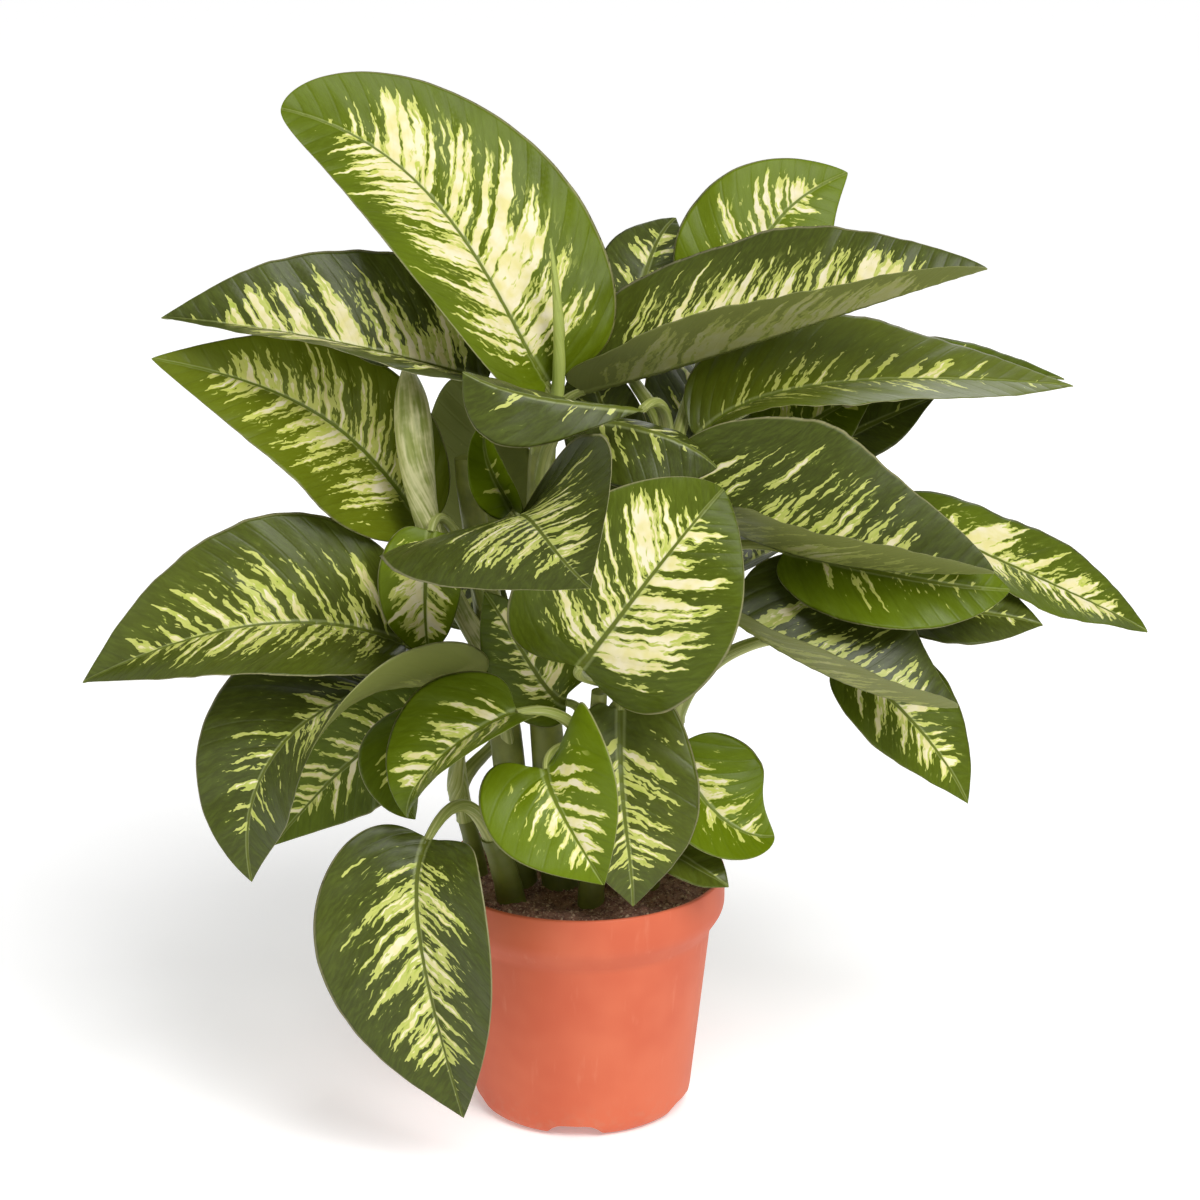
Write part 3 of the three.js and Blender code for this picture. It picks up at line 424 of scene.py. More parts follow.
leaves = {
    "crown_left": leafOn("main", 440, slot="cream", half=(62, 76), blunt=0.04, lobe=(0.5, 0.35),
        rib=((-22, 12, 478), (-55, 22, 538), (-105, 50, 600), (-187, 60, 642)), face=(0.03, -0.9, 0.4),
        left=(62, 0, 25, 0), right=(0, -10), wave=(2.5, 2, 0.1), look=(1.08, 0.55, 1)),
    "upper_left": leafOn("main", 400, half=63, lobe=(0.6, 0.4),
        rib=((-59, 18, 478), (-118, 14, 496), (-185, 8, 512), (-260, 10, 521)), face=(0, -0.47, 0.88),
        sides=(42, -10), wave=(2.5, 2, 0.3), look=(0.95, 0.15, 0.5)),
    "middle_left": leafOn("left", 330, half=(62, 50), blunt=0.35, lobe=0,
        rib=((-99, 14, 384), (-138, 10, 437), (-187, 2, 474), (-267, 10, 495)), face=(-0.1, -0.8, 0.6),
        left=(40, 0, 20, 0), right=(12, -10), wave=(2, 2, 0.5), look=(0.95, 0.8, 0.35)),
    "low_left": leafOn("left", 270, half=68, lobe=0,
        rib=((-111, -25, 320), (-165, -45, 340), (-229, -60, 338), (-310, -50, 303)), face=(0, -0.65, 0.76),
        sides=(35, -10), wave=(2, 2, 0.2), look=(0.8, 0.3, 0.3)),
    "lower_left": leafOn("left", 220, half=68,
        rib=((-69, -42, 296), (-139, -75, 303), (-191, -100, 268), (-203, -105, 192)),
        face=(-0.15, -0.8, 0.5), left=(80, 80, 10, 0), right=(-55, 0, 15, 0), wave=(2, 2, 0.1),
        look=(0.6, 0.1, 0.3)),
    "hidden_left": leafOn("side", 190, slot="fresh", half=46,
        rib=((-92, 12, 250), (-127, 22, 240), (-162, 28, 210), (-203, 28, 163)), face=(0.1, -0.6, 0.8),
        wave=(1.5, 2, 0), look=(0.7, 0.4, 0.6)),
    "hanging_front": leafOn("low_left", 190, half=(58, 65), lobe=(0.2, 0), rise=0.7, arch=0.6,
        rib=((-95, -88, 214), (-101, -112, 175), (-91, -120, 112), (-74, -115, 37)), face=(0, -1, 0.2),
        left=(40, 0), right=(5, -5), wave=(1.5, 2, 0.4), look=(0.85, 0.12, 0.35)),
    "small_left": leafOn("front", 230, slot="fresh", half=44,
        rib=((-39, -86, 296), (-65, -100, 288), (-93, -113, 268), (-106, -114, 238)),
        face=(-0.3, -0.85, 0.45), left=(60, 0), right=(0, -5), wave=(1.5, 2, 0.2), look=(0.8, 0.5, 0.8)),
    "small_left_back": leafOn("side", 205, slot="fresh", half=38,
        rib=((-85, -20, 254), (-103, -30, 250), (-111, -40, 233), (-105, -45, 210)), face=(-0.3, -0.7, 0.6),
        left=(50, 0), right=(0, 0), wave=(1, 2, 0), look=(0.6, 0.5, 0.5)),
    "front_heart": leafOn("front", 240, slot="fresh", half=(52, 46), widest=0.68, lobe=(1.45, 0.6),
        slim=1.1, rib=((-22, -98, 264), (-16, -112, 249), (-3, -124, 228), (14, -132, 201)),
        face=(-0.15, -0.8, 0.55), left=(30, 0, 40, 0), right=(10, 0), wave=(1.5, 2, 0.5),
        look=(0.8, 0.8, 1)),
    "front_dark": leafOn("front", 245, half=(48, 36), lobe=(1.1, 0.8),
        rib=((24, -60, 290), (25, -82, 244), (29, -90, 208), (32, -84, 167)), face=(0.15, -0.9, 0.4),
        wave=(1, 2, 0.1), look=(0.75, 0.3, 0.3)),
    "front_right": leafOn("low_right", 230, slot="fresh", half=(44, 38), blunt=0.1,
        rib=((58, -34, 256), (73, -46, 229), (95, -54, 209), (121, -56, 203)), face=(0.1, -0.8, 0.6),
        left=(10, 0), right=(30, 0), wave=(0.6, 2, 0.05), look=(0.7, 0.8, 0.8)),
    "soil_leaf": leafOn("low_right", 170, half=20,
        rib=((49, -52, 197), (61, -62, 192), (77, -70, 185), (92, -74, 176)), face=(0, -0.5, 0.85),
        sides=(15, 0), wave=(0.5, 2, 0), look=(0.1, 0.3, 0.3)),
    "centre": leafOn("right", 270, slot="cream", half=(68, 66), blunt=0.2, lobe=0.5,
        bow=((30, -26, 300), (-11, -73, 309)),
        rib=((-1, -88, 326), (23, -112, 366), (53, -116, 408), (85, -98, 442)), face=(0.1, -0.95, 0.25),
        wave=(2, 2, 0.6), look=(0.95, 0.25, 0.85)),
    "centre_curl": leafOn("main", 330, half=(70, 93), widest=0.88, lobe=(-0.3, 0.1), slim=2.2,
        rib=((-47, -20, 388), (-35, -80, 420), (-19, -138, 421), (6, -190, 409)), face=(-0.1, -0.2, 0.95),
        left=(0, 80, 30, 20), right=(0, -5), wave=(2, 2, 0.1), look=(0.7, 0.1, 0.5)),
    "centre_top": leafOn("right", 405, half=(34, 31), widest=2.2, blunt=0.5,
        bow=((55, 14, 440), (55, -2, 482)),
        rib=((38, -56, 480), (8, -68, 486), (-32, -72, 493), (-71, -65, 506)), face=(0, -0.5, 0.87),
        left=(-35, 0), right=(-30, -20), wave=(1, 2, 0), look=(0.3, 0.1, 0.3)),
    "centre_top_right": leafOn("main", 390, half=40, blunt=0.15,
        rib=((5, -30, 467), (31, -46, 467), (60, -54, 459), (83, -52, 442)), face=(0, -0.5, 0.87),
        left=(-30, -20), right=(-35, 0), wave=(1, 2, 0.2), look=(0.55, 0.1, 0.2)),
    "upper_right": leafOn("main", 425, half=(73, 64), blunt=0.3,
        rib=((0, 35, 467), (76, 15, 494), (162, 2, 526), (250, 10, 552)), face=(-0.1, -0.35, 0.93),
        left=(35, -5), right=(58, -5), wave=(2, 2, 0.2), look=(1.2, 0.2, 0.75)),
    "second_right": leafOn("right", 400, half=60, lobe=-0.4, slim=2,
        rib=((74, 28, 439), (128, 31, 468), (213, 33, 476), (310, 39, 470)), face=(0, -0.7, 0.7),
        tipFace=(0, -0.2, 1), left=(5, 0), right=(60, 0, 0, 0), wave=(2, 2, 0.6), look=(0.5, 0.6, 0.15)),
    "back_top": leafOn("right", 400, slot="cream", half=52, blunt=0.3, lobe=0.1, rise=0.2, arch=0.2,
        rib=((85, 85, 493), (107, 97, 533), (129, 111, 565), (171, 130, 588)), face=(0, -0.8, 0.55),
        left=(15, -10), right=(5, -10), wave=(1.5, 2, 0), look=(0.8, 0.75, 1)),
    "back_top_dark": leafOn("right", 420, half=32,
        rib=((28, 79, 489), (37, 101, 517), (47, 124, 541), (61, 147, 555)), face=(0, -0.6, 0.8),
        sides=(5, -10), wave=(1.5, 2, 0.3), look=(0.7, 0.1, 0.5)),
    "right_dark": leafOn("right", 350, half=(82, 66), widest=0.88, blunt=0.2, lobe=(0.1, -0.9),
        rib=((42, -26, 427), (97, -48, 399), (163, -62, 383), (253, -58, 377)), face=(0, -0.57, 0.82),
        left=(37, 0), right=(68, 0), wave=(2, 2, 0.4), look=(0.85, 0.08, 0.3)),
    "right_green": leafOn("right", 310, slot="fresh", half=39, blunt=0.3,
        rib=((125, -32, 384), (171, -45, 376), (218, -50, 368), (265, -40, 360)), face=(0, -0.75, 0.65),
        left=(20, 0), right=(5, 0), wave=(1.5, 2, 0), look=(0.55, 0.6, 0.4)),
    "right_low_dark": leafOn("low_right", 255, half=(72, 52), blunt=0.2, lobe=(0.4, 0.3),
        rib=((90, -50, 347), (134, -65, 323), (183, -75, 304), (232, -70, 294)), face=(0, -0.5, 0.86),
        left=(20, 0), right=(64, 0), wave=(2, 2, 0.1), look=(0.75, 0.08, 0.3)),
    "right_far": leafOn("right", 330, slot="cream", half=41, blunt=0.35,
        rib=((198, 30, 390), (259, 30, 361), (315, 25, 336), (361, 20, 313)), face=(0.2, -0.35, 0.9),
        wave=(2, 2, 0.3), look=(1.1, 0.4, 0.9)),
    "right_far_low": leafOn("low_right", 265, half=35,
        rib=((189, 0, 344), (223, -10, 339), (257, -14, 336), (290, -12, 328)), face=(0, -0.5, 0.87),
        wave=(1, 2, 0.2), look=(0.5, 0.2, 0.6)),
    "right_lowest": leafOn("low_right", 260, slot="cream", half=37,
        rib=((166, -5, 305), (191, -12, 283), (220, -20, 253), (245, -25, 213)), face=(0.2, -0.7, 0.7),
        wave=(1, 2, 0.5), look=(0.85, 0.35, 0.8)),
    "centre_low": leafOn("front", 225, slot="fresh", half=28,
        rib=((-10, -36, 285), (-25, -44, 302), (-43, -49, 334), (-60, -46, 361)), face=(-0.2, -0.9, 0.3),
        wave=(1, 2, 0), look=(0.8, 0.3, 0.9)),
    "young_roll": leafOn("main", 375, slot="fresh", half=20,
        rib=((-43, -12, 404), (-52, -23, 424), (-59, -28, 445), (-57, -24, 468)), face=(-0.3, -0.9, 0.2),
        left=(50, 20), right=(30, 20), wave=(1, 1, 0), look=(0.2, 0.8, 0.6)),
    "inner_back": leafOn("left", 345, slot="fresh", half=(34, 40), blunt=-0.2,
        rib=((-60, 36, 366), (-64, 42, 400), (-66, 46, 436), (-66, 48, 474)), face=(0.2, 0.9, 0.2),
        wave=(1, 2, 0), look=(0.1, 0.35, 0.2)),
    "inner_rear": leafOn("right", 380, half=(31, 24), blunt=0,
        rib=((26, 48, 398), (21, 51, 428), (11, 53, 458), (2, 53, 482)), face=(0, -0.9, 0.3),
        wave=(1, 2, 0.4), look=(0.4, 0.1, 0.2)),
    "inner_left": leafOn("left", 300, slot="cream", half=(23, 30), blunt=0.2,
        rib=((-93, -28, 395), (-96, -38, 372), (-97, -40, 344), (-95, -34, 315)), face=(0, -1, 0.2),
        wave=(1.5, 3, 0), look=(1.25, 0.7, 0.8)),
    "right_edge": leafOn("right", 375, slot="fresh", half=35,
        rib=((153, 92, 456), (203, 102, 461), (253, 102, 463), (311, 92, 461)), face=(0, -0.3, 0.95),
        wave=(1, 2, 0.4), look=(0.3, 0.3, 0.4)),
    "right_under": leafOn("right", 385, half=25,
        rib=((143, 48, 420), (169, 54, 433), (197, 57, 446), (225, 55, 459)), face=(0, -0.7, 0.7),
        wave=(1, 2, 0.1), look=(0.2, 0.1, 0.2)),
    "right_inner": leafOn("right", 375, slot="cream", half=32,
        rib=((111, 32, 425), (135, 34, 442), (159, 36, 456), (187, 34, 470)), face=(0, -0.8, 0.6),
        wave=(1, 2, 0), look=(0.7, 0.5, 0.6)),
    "rear_upper_left": leafOn("left", 300, slot="cream", half=60, sheath=9, slim=1.6, swell=9,
        bow=((-110, -16, 380), (-98, -34, 446)),
        rib=((-109, 24, 486), (-135, 78, 508), (-165, 130, 510), (-199, 185, 488)), face=(-0.2, 0.3, 0.9),
        sides=(20, -5), wave=(2, 2, 0.3), look=(0.75, 0.25, 0.6)),
    "rear_top": leafOn("main", 445, half=64, lobe=0.1,
        rib=((-26, 66, 466), (-30, 118, 496), (-30, 174, 501), (-24, 236, 476)), face=(0, 0.3, 0.95),
        sides=(20, -5), wave=(2, 3, 0), look=(0.75, 0.3, 0.6)),
    "rear_right": leafOn("right", 405, half=54, lobe=0,
        rib=((66, 72, 412), (92, 125, 440), (118, 178, 446), (146, 232, 422)), face=(0.2, 0.3, 0.9),
        sides=(20, -5), wave=(2, 3, 0.5), look=(0.7, 0.2, 0.5)),
    "rear_low_left": leafOn("left", 250, half=58,
        rib=((-72, 60, 300), (-112, 105, 315), (-152, 150, 305), (-187, 190, 265)), face=(-0.2, 0.35, 0.9),
        sides=(20, -5), wave=(2, 3, 0.1), look=(0.65, 0.15, 0.4)),
    "rear_low": leafOn("main", 280, half=62,
        rib=((-7, 75, 335), (-7, 128, 350), (-2, 182, 335), (3, 235, 290)), face=(0, 0.4, 0.9),
        sides=(20, -5), wave=(2, 3, 0.7), look=(0.7, 0.2, 0.5)),
    "rear_low_right": leafOn("right", 280, half=58,
        rib=((83, 60, 330), (133, 100, 345), (178, 140, 335), (223, 178, 295)), face=(0.2, 0.35, 0.9),
        sides=(20, -5), wave=(2, 3, 0.2), look=(0.65, 0.15, 0.4)),
    "rear_drop_left": leafOn("side", 200, slot="fresh", half=44,
        rib=((-57, 55, 235), (-82, 95, 235), (-102, 130, 205), (-115, 155, 165)), face=(-0.3, 0.6, 0.7),
        sides=(15, 0), wave=(1.5, 2, 0.3), look=(0.7, 0.4, 0.6)),
    "rear_drop_right": leafOn("low_right", 200, slot="fresh", half=44,
        rib=((48, 45, 215), (61, 88, 208), (71, 122, 180), (77, 145, 140)), face=(0.3, 0.6, 0.7),
        sides=(15, 0), wave=(1.5, 2, 0.6), look=(0.65, 0.3, 0.5)),
}


# leaf blades

ribLabels = ("Base", "Lower", "Upper", "Tip")
sideLabels = ("Half", "Lobe", "Lift", "Tip Lift", "Bend", "Tip Bend")  # once for each half of the blade
bladeInputs = {
    **dict.fromkeys((*ribLabels, "Face", "Tip Face", "Look"), "Vector"),
    **dict.fromkeys([f"{label} {side}" for label in sideLabels for side in ("Left", "Right")], "Float"),
    **dict.fromkeys(("Wave Height", "Wave Count", "Wave Start"), "Float"),
    **dict.fromkeys(("Widest", "Blunt", "Length", "Seed"), "Float"),
    "Rows": "Int", "Columns": "Int", "Finish": "Material",
}
blade = {
    "notch": 6 * mm, "thickness": 0.7 * mm, "veinHeight": 0.42 * mm, "ripple": 1.5 * mm, "rippleCount": 60.0,
    "ribDepth": 1.7 * mm, "ribWidth": 2.6 * mm, "ribGroove": 0.5 * mm,
    "pillow": 6 * mm, "pillowCount": (55.0, 20.0),  # across the side veins, and along them
    "cellLength": 2.0 * mm, "cellWidth": 3.2 * mm, "spareRows": 8, "spareColumns": 5,
    "lengthSteps": 20, "seedStep": 1.7, "weld": 0.0005 * mm,
}


def weighted(points, weights):
    first, *others = [point * weight for point, weight in zip(points, weights)]
    return sum(others, start=first)


def throughFour(points, t):
    u = t * 3.0
    a, b, c = u - 1.0, u - 2.0, u - 3.0
    return weighted(points, (a * b * c * (-1 / 6), u * b * c * 0.5, u * a * c * -0.5, u * a * b * (1 / 6)))


def slopeOfFour(points, t):
    u = t * 3.0
    square = u * u
    return weighted(points, (
        (square * 3.0 - u * 12.0 + 11.0) * (-1 / 6),
        (square * 3.0 - u * 10.0 + 6.0) * 0.5,
        (square * 3.0 - u * 8.0 + 3.0) * -0.5,
        (square * 3.0 - u * 6.0 + 2.0) * (1 / 6),
    ))


def bladeTree():
    start, given = newTree("leafBlade", bladeInputs)
    sizes = {"Size X": 1.0, "Size Y": 1.0, "Vertices X": given["Rows"], "Vertices Y": given["Columns"]}
    grid = start.make("GeometryNodeMeshGrid", values=sizes)
    x, y, _ = start.make("GeometryNodeInputPosition").parts()
    row = x + 0.5
    t = row * row * (3.0 - 2.0 * row) * 0.9 + row * 0.1  # rows stand closer at both ends
    v = y * -2.0  # -1 at the left edge, 1 at the right edge
    isRight = v > 0.0
    side = isRight * 2.0 - 1.0
    out = abs(v)
    pick = {label: isRight.blend(given[label + " Left"], given[label + " Right"]) for label in sideLabels}

    # the midrib's own directions
    points = [given[label] for label in ribLabels]
    centre = throughFour(points, t)
    ahead = slopeOfFour(points, t).unit()
    wanted = t.blend(given["Face"], given["Tip Face"])
    up = (wanted - ahead * wanted.dot(ahead)).unit()
    right = ahead.cross(up)

    # how far the blade reaches, and how it lifts and bends
    swell = ((t ** given["Widest"]) * math.pi).sine().most(0.0)
    outline = swell ** (given["Blunt"] * t + 0.5)
    reach = pick["Half"] * outline * out
    degree = math.pi / 180
    turn = t.blend(pick["Bend"], pick["Tip Bend"]) * out * (degree / 2)
    angle = t.blend(pick["Lift"], pick["Tip Lift"]) * degree + turn
    safeTurn = abs(turn).most(0.001)
    chord = reach * (safeTurn.sine() / safeTurn)

    # waves and ripples along the edge, and soft swellings between the side veins
    swing = (given["Wave Count"] * t + given["Wave Start"] + side * 0.25) * (2 * math.pi)
    wave = given["Wave Height"] * swing.sine() * out * out * outline
    along = t * given["Length"]
    vein = veinLine(along, reach)
    edgePlace = start.together(along * blade["rippleCount"], side * 4.0, given["Seed"])
    ripple = (edgePlace.noise(1.0) - 0.5) * (2.0 * blade["ripple"]) * (out ** 4.0) * outline
    perStep, perReach = blade["pillowCount"]
    pillowPlace = start.together(vein * perStep, side * reach * perReach, given["Seed"])
    pillow = (pillowPlace.noise(1.0) - 0.5) * blade["pillow"]
    ripple = ripple + pillow * out.smooth(0.0, 0.3) * outline
    sweep = pick["Lobe"] * (reach - blade["notch"]).most(0.0) * ((1.0 - t) ** 4.0)
    place = centre + right * (side * chord * angle.cosine())
    place = place + up * (chord * angle.sine() + wave + ripple) - ahead * sweep

    # what the finish needs is stored on the flat grid, before the points move
    named = store(start, grid, "leafMetres", start.together(along, side * reach, given["Seed"]))
    named = store(start, named, "leafLook", given["Look"])
    named = store(start, named, "veinPlace", vein, "FLOAT")
    named = store(start, named, "rowPlace", start.together(t, v, row))
    shaped = start.make("GeometryNodeSetPosition", values={0: named, "Position": place})
    t, v, row = stored(start, "rowPlace").parts()
    out = abs(v)
    vein = stored(start, "veinPlace", "FLOAT")
    width = abs(stored(start, "leafMetres").parts()[1])

    # two faces that meet at the margin: sunken side veins above, a raised midrib below
    normal = start.make("GeometryNodeInputNormal")
    margin = (1.0 - out ** 8.0) * row.smooth(0.0, 0.012) * (1.0 - row).smooth(0.0, 0.012)
    ribbing = abs((vein / sideVein["step"]).fraction() - 0.5).smooth(0.0, 0.3)
    relief = (ribbing - 0.7) * blade["veinHeight"] * (1.0 - t * 0.4)
    ridge = 1.0 - width.smooth(0.0, blade["ribWidth"])
    groove = (1.0 - width.smooth(0.0, blade["ribWidth"] * 0.6)) * -blade["ribGroove"]
    above = (relief + groove + blade["thickness"] / 2) * margin
    under = (blade["thickness"] / 2 + ridge * blade["ribDepth"] * (1.0 - t * 0.8) - relief) * margin
    top = moved(start, shaped, normal * above)
    top = store(start, top, "leafPlace", start.together(t, v, 1.0))
    low = start.make("GeometryNodeFlipFaces", values={0: moved(start, shaped, normal * (under * -1.0))})
    low = store(start, low, "leafPlace", start.together(t, v, 0.0))
    both = gathered(start, low, top)
    closed = start.make("GeometryNodeMergeByDistance", values={0: both, "Distance": blade["weld"]})
    soft = start.make("GeometryNodeSetShadeSmooth", values={0: closed})
    return endTree(start, soft, given["Finish"])


def perSide(value):
    return value if isinstance(value, tuple) else (value, value)


def scaled(point):
    return Vector(point) * mm


def ribPoint(leaf, t):
    place = Vector((0, 0, 0))
    for i, point in enumerate(leaf["rib"]):
        weight = math.prod((3 * t - j) / (i - j) for j in range(4) if j != i)
        place += scaled(point) * weight
    return place


def makeBlade(name, leaf, number, tree, finishes):
    steps = [ribPoint(leaf, i / blade["lengthSteps"]) for i in range(blade["lengthSteps"] + 1)]
    length = sum((b - a).length for a, b in zip(steps, steps[1:]))
    half = [width * mm for width in perSide(leaf["half"])]
    lobe = perSide(leaf["lobe"])
    values = {label: scaled(point) for label, point in zip(ribLabels, leaf["rib"])}
    for i, side in enumerate(("left", "right")):
        lift, bend, *tip = leaf.get(side, leaf["sides"])
        tipLift, tipBend = tip or (lift, bend)
        sizes = (half[i], lobe[i], lift, tipLift, bend, tipBend)
        values |= {f"{label} {side.title()}": size for label, size in zip(sideLabels, sizes)}
    height, count, first = leaf["wave"]
    values |= {
        "Face": Vector(leaf["face"]), "Tip Face": Vector(leaf.get("tipFace", leaf["face"])),
        "Wave Height": height * mm, "Wave Count": count, "Wave Start": first,
        "Widest": leaf["widest"], "Blunt": leaf["blunt"], "Length": length, "Look": Vector(leaf["look"]),
        "Rows": round(length / blade["cellLength"]) + blade["spareRows"],
        "Columns": 2 * round(max(half) / blade["cellWidth"]) + blade["spareColumns"],
        "Seed": number * blade["seedStep"], "Finish": finishes[leaf["slot"]],
    }
    handOver(grow("blade_" + name, tree, values), leaf["slot"] + "_leaf", "leaf_" + name)


# canes, leaf stalks and the rolled new leaf

stems = {
    "left": dict(radius=(12, 8), path=((-37, -5, 100), (-49, -8, 257), (-63, 5, 360), (-72, 15, 430))),
    "main": dict(radius=(12.5, 8), path=((-9, -18, 100), (-23, -8, 262), (-27, 10, 370), (-23, 25, 455))),
    "right": dict(radius=(12, 8), path=((17, 14, 100), (27, 12, 250), (43, 12, 360), (55, 15, 430))),
    "low_right": dict(radius=(9, 6), path=((37, -14, 100), (45, -16, 180), (53, -16, 230), (59, -14, 270))),
    "front": dict(radius=(9.5, 5), path=((3, -38, 100), (6, -43, 165), (8, -48, 230), (11, -58, 300))),
    "low_left": dict(
        radius=(12, 7), path=((-41, -32, 100), (-45, -36, 150), (-51, -42, 180), (-57, -48, 200))),
    "side": dict(radius=(8, 5), path=((-63, 10, 100), (-69, 10, 160), (-75, 8, 190), (-81, 6, 210))),
}
spear = dict(
    stem="main", radius=(4.5, 0.7), path=((-21, 20, 445), (-14, 6, 485), (-15, 4, 530), (-19, 6, 572)))
stalk = {"thinnest": 1.9, "groove": 0.7 * mm, "seat": 0.6 * mm, "seatPlace": 0.006, "aimPlace": 0.02}
tubes = {  # Kind tells the finish what a tube is
    "stalk": {"Taper": 0.7, "Kind": 1.0, "Steps": 48, "Sides": 20, "Groove": stalk["groove"]},
    "sheath": {"Kind": 1.3},
    "cane": {"Taper": 1.0, "Kind": 0.0, "Steps": 160, "Sides": 32, "Rings": 9.0, "Ring Height": 0.1 * mm},
    "spear": {"Taper": 3.0, "Kind": 2.0, "Steps": 80, "Sides": 28, "Roll": 0.8 * mm},
}
endLabels = ("Start", "Start Handle", "End Handle", "End")
reliefLabels = ("Rings", "Ring Height", "Groove", "Roll", "Swell")
stalkInputs = {
    **dict.fromkeys(endLabels, "Vector"),
    **dict.fromkeys((*reliefLabels, "Start Radius", "End Radius", "Taper", "Kind"), "Float"),
    "Steps": "Int", "Sides": "Int", "Finish": "Material",
}


def stalkTree():
    start, given = newTree("roundStalk", stalkInputs)
    ends = {label: given[label] for label in endLabels}
    curve = start.make("GeometryNodeCurvePrimitiveBezierSegment", values={"Resolution": 64, **ends})
    curve = start.make("GeometryNodeResampleCurve", values={0: curve, "Count": given["Steps"]})
    curve = start.make("GeometryNodeSetCurveNormal", {"mode": "Z_UP"}, {0: curve})
    s = start.make("GeometryNodeSplineParameter")
    curve = store(start, curve, "stalkAlong", start.together(s, s.out("Length")))
    circle = {"Resolution": given["Sides"], "Radius": 1.0}
    ring = start.make("GeometryNodeCurvePrimitiveCircle", values=circle)
    ring = store(start, ring, "stalkAround", start.make("GeometryNodeSplineParameter"), "FLOAT")
    uneven = start.together(s * 9.0, given["Kind"], given["Start Radius"] * 900.0).noise(1.0) - 0.5
    radius = (s ** given["Taper"]).blend(given["Start Radius"], given["End Radius"]) * (1.0 + uneven * 0.16)
    ringPlace = (s * given["Rings"] + start.together(s, 0.0).noise(1.0) * 0.8).fraction()
    scar = (1.0 - abs(ringPlace - 0.5).smooth(0.0, 0.13)) * (given["Rings"] > 0.5)
    radius = radius + scar * given["Ring Height"] + (s ** 3.0 * math.pi).sine() * given["Swell"]
    curve = store(start, curve, "stalkScar", start.together(scar, 0.0))
    body = {0: curve, "Profile Curve": ring, "Scale": radius, "Fill Caps": True}
    mesh = start.make("GeometryNodeCurveToMesh", values=body)

    # a flat channel runs along the upper side of a leaf stalk, and a seam winds round the rolled leaf
    s, length, _ = stored(start, "stalkAlong").parts()
    around = stored(start, "stalkAround", "FLOAT")
    channel = ((around - 0.25) * (2 * math.pi)).cosine().most(0.0) ** 6.0
    seam = (around + s * 0.6).fraction() * given["Roll"]
    dent = (channel * given["Groove"] + seam) * -1.0
    mesh = moved(start, mesh, start.make("GeometryNodeInputNormal") * dent)
    mesh = store(start, mesh, "stalkPlace", start.together(length, around, given["Kind"]))
    mesh = start.make("GeometryNodeSetShadeSmooth", values={0: mesh})
    return endTree(start, mesh, given["Finish"])


def bezierThrough(points):
    a, b, c, d = points
    return a, (b * 18 - a * 5 - c * 9 + d * 2) / 6, (a * 2 - b * 9 + c * 18 - d * 5) / 6, d


def bezierPoint(ends, t):
    rest = 1 - t
    a, b, c, d = ends
    return a * rest ** 3 + b * 3 * rest * rest * t + c * 3 * rest * t * t + d * t ** 3


def atHeight(ends, height):
    low, high = 0.0, 1.0
    for halving in range(20):
        middle = (low + high) / 2
        if bezierPoint(ends, middle).z < height:
            low = middle
        else:
            high = middle
    return (low + high) / 2


def stalkEnds(cane, leaf):
    t, step = atHeight(cane, leaf["root"] * mm), 0.01
    rise = (bezierPoint(cane, t + step) - bezierPoint(cane, t - step)).normalized()
    ahead = (ribPoint(leaf, stalk["aimPlace"]) - ribPoint(leaf, 0.0)).normalized()
    first = bezierPoint(cane, t)
    last = ribPoint(leaf, stalk["seatPlace"]) + ahead * stalk["seat"]
    reach = (last - first).length
    if "bow" in leaf:
        lower, upper = [scaled(point) for point in leaf["bow"]]
    else:
        lower = first + rise * reach * leaf["rise"]
        upper = last - ahead * reach * leaf["arch"]
    return first, lower, upper, last


def makeTube(name, tree, ends, radii, finish, sizes):
    values = dict.fromkeys(reliefLabels, 0.0) | dict(zip(endLabels, ends)) | sizes
    values |= {"Start Radius": radii[0] * mm, "End Radius": radii[1] * mm, "Finish": finish}
    return grow(name, tree, values)


def makeStem(name, tree, finish):
    cane = bezierThrough([scaled(point) for point in stems[name]["path"]])
    made = [makeTube("cane", tree, cane, stems[name]["radius"], finish, tubes["cane"])]
    for leaf in leaves.values():
        if leaf["stem"] == name:
            radii = (leaf["sheath"], max(leaf["slim"], stalk["thinnest"]))
            sizes = tubes["stalk"]
            if "swell" in leaf:
                sizes = sizes | tubes["sheath"] | {"Swell": leaf["swell"] * mm}
            made.append(makeTube("stalk", tree, stalkEnds(cane, leaf), radii, finish, sizes))
    if name == spear["stem"]:
        path = bezierThrough([scaled(point) for point in spear["path"]])
        made.append(makeTube("spear", tree, path, spear["radius"], finish, tubes["spear"]))
    handOver(joined(f"stem_{name}_stalks", made), "stem", "stem_" + name)


# the nursery pot

pot = {
    "height": 160, "rimRadius": 92, "rimBand": 24, "rimWall": 3, "shoulderDrop": 14, "neckRadius": 83,
    "footRadius": 69.5, "footCorner": 11, "wall": 2.5, "innerFloor": 13, "sides": 192, "sharpFrom": 35,
}
drain = {
    "count": 5, "bottomWidth": 39, "topWidth": 22, "height": 9, "depth": 30, "firstAngle": -94,
    "start": 18, "flare": 4, "flareDrop": 5, "lean": 2, "footCurve": 3, "topCurve": 6,
}


def rounded(points, steps=6):
    path = [Vector(points[0][:2])]
    for before, corner, after in zip(points, points[1:], points[2:]):
        radius = corner[2]
        before, corner, after = Vector(before[:2]), Vector(corner[:2]), Vector(after[:2])
        first = corner + (before - corner).normalized() * min(radius, (before - corner).length * 0.49)
        last = corner + (after - corner).normalized() * min(radius, (after - corner).length * 0.49)
        for i in range(steps + 1):
            t = i / steps
            path.append(first * (1 - t) ** 2 + corner * 2 * t * (1 - t) + last * t * t)
    path.append(Vector(points[-1][:2]))
    return path


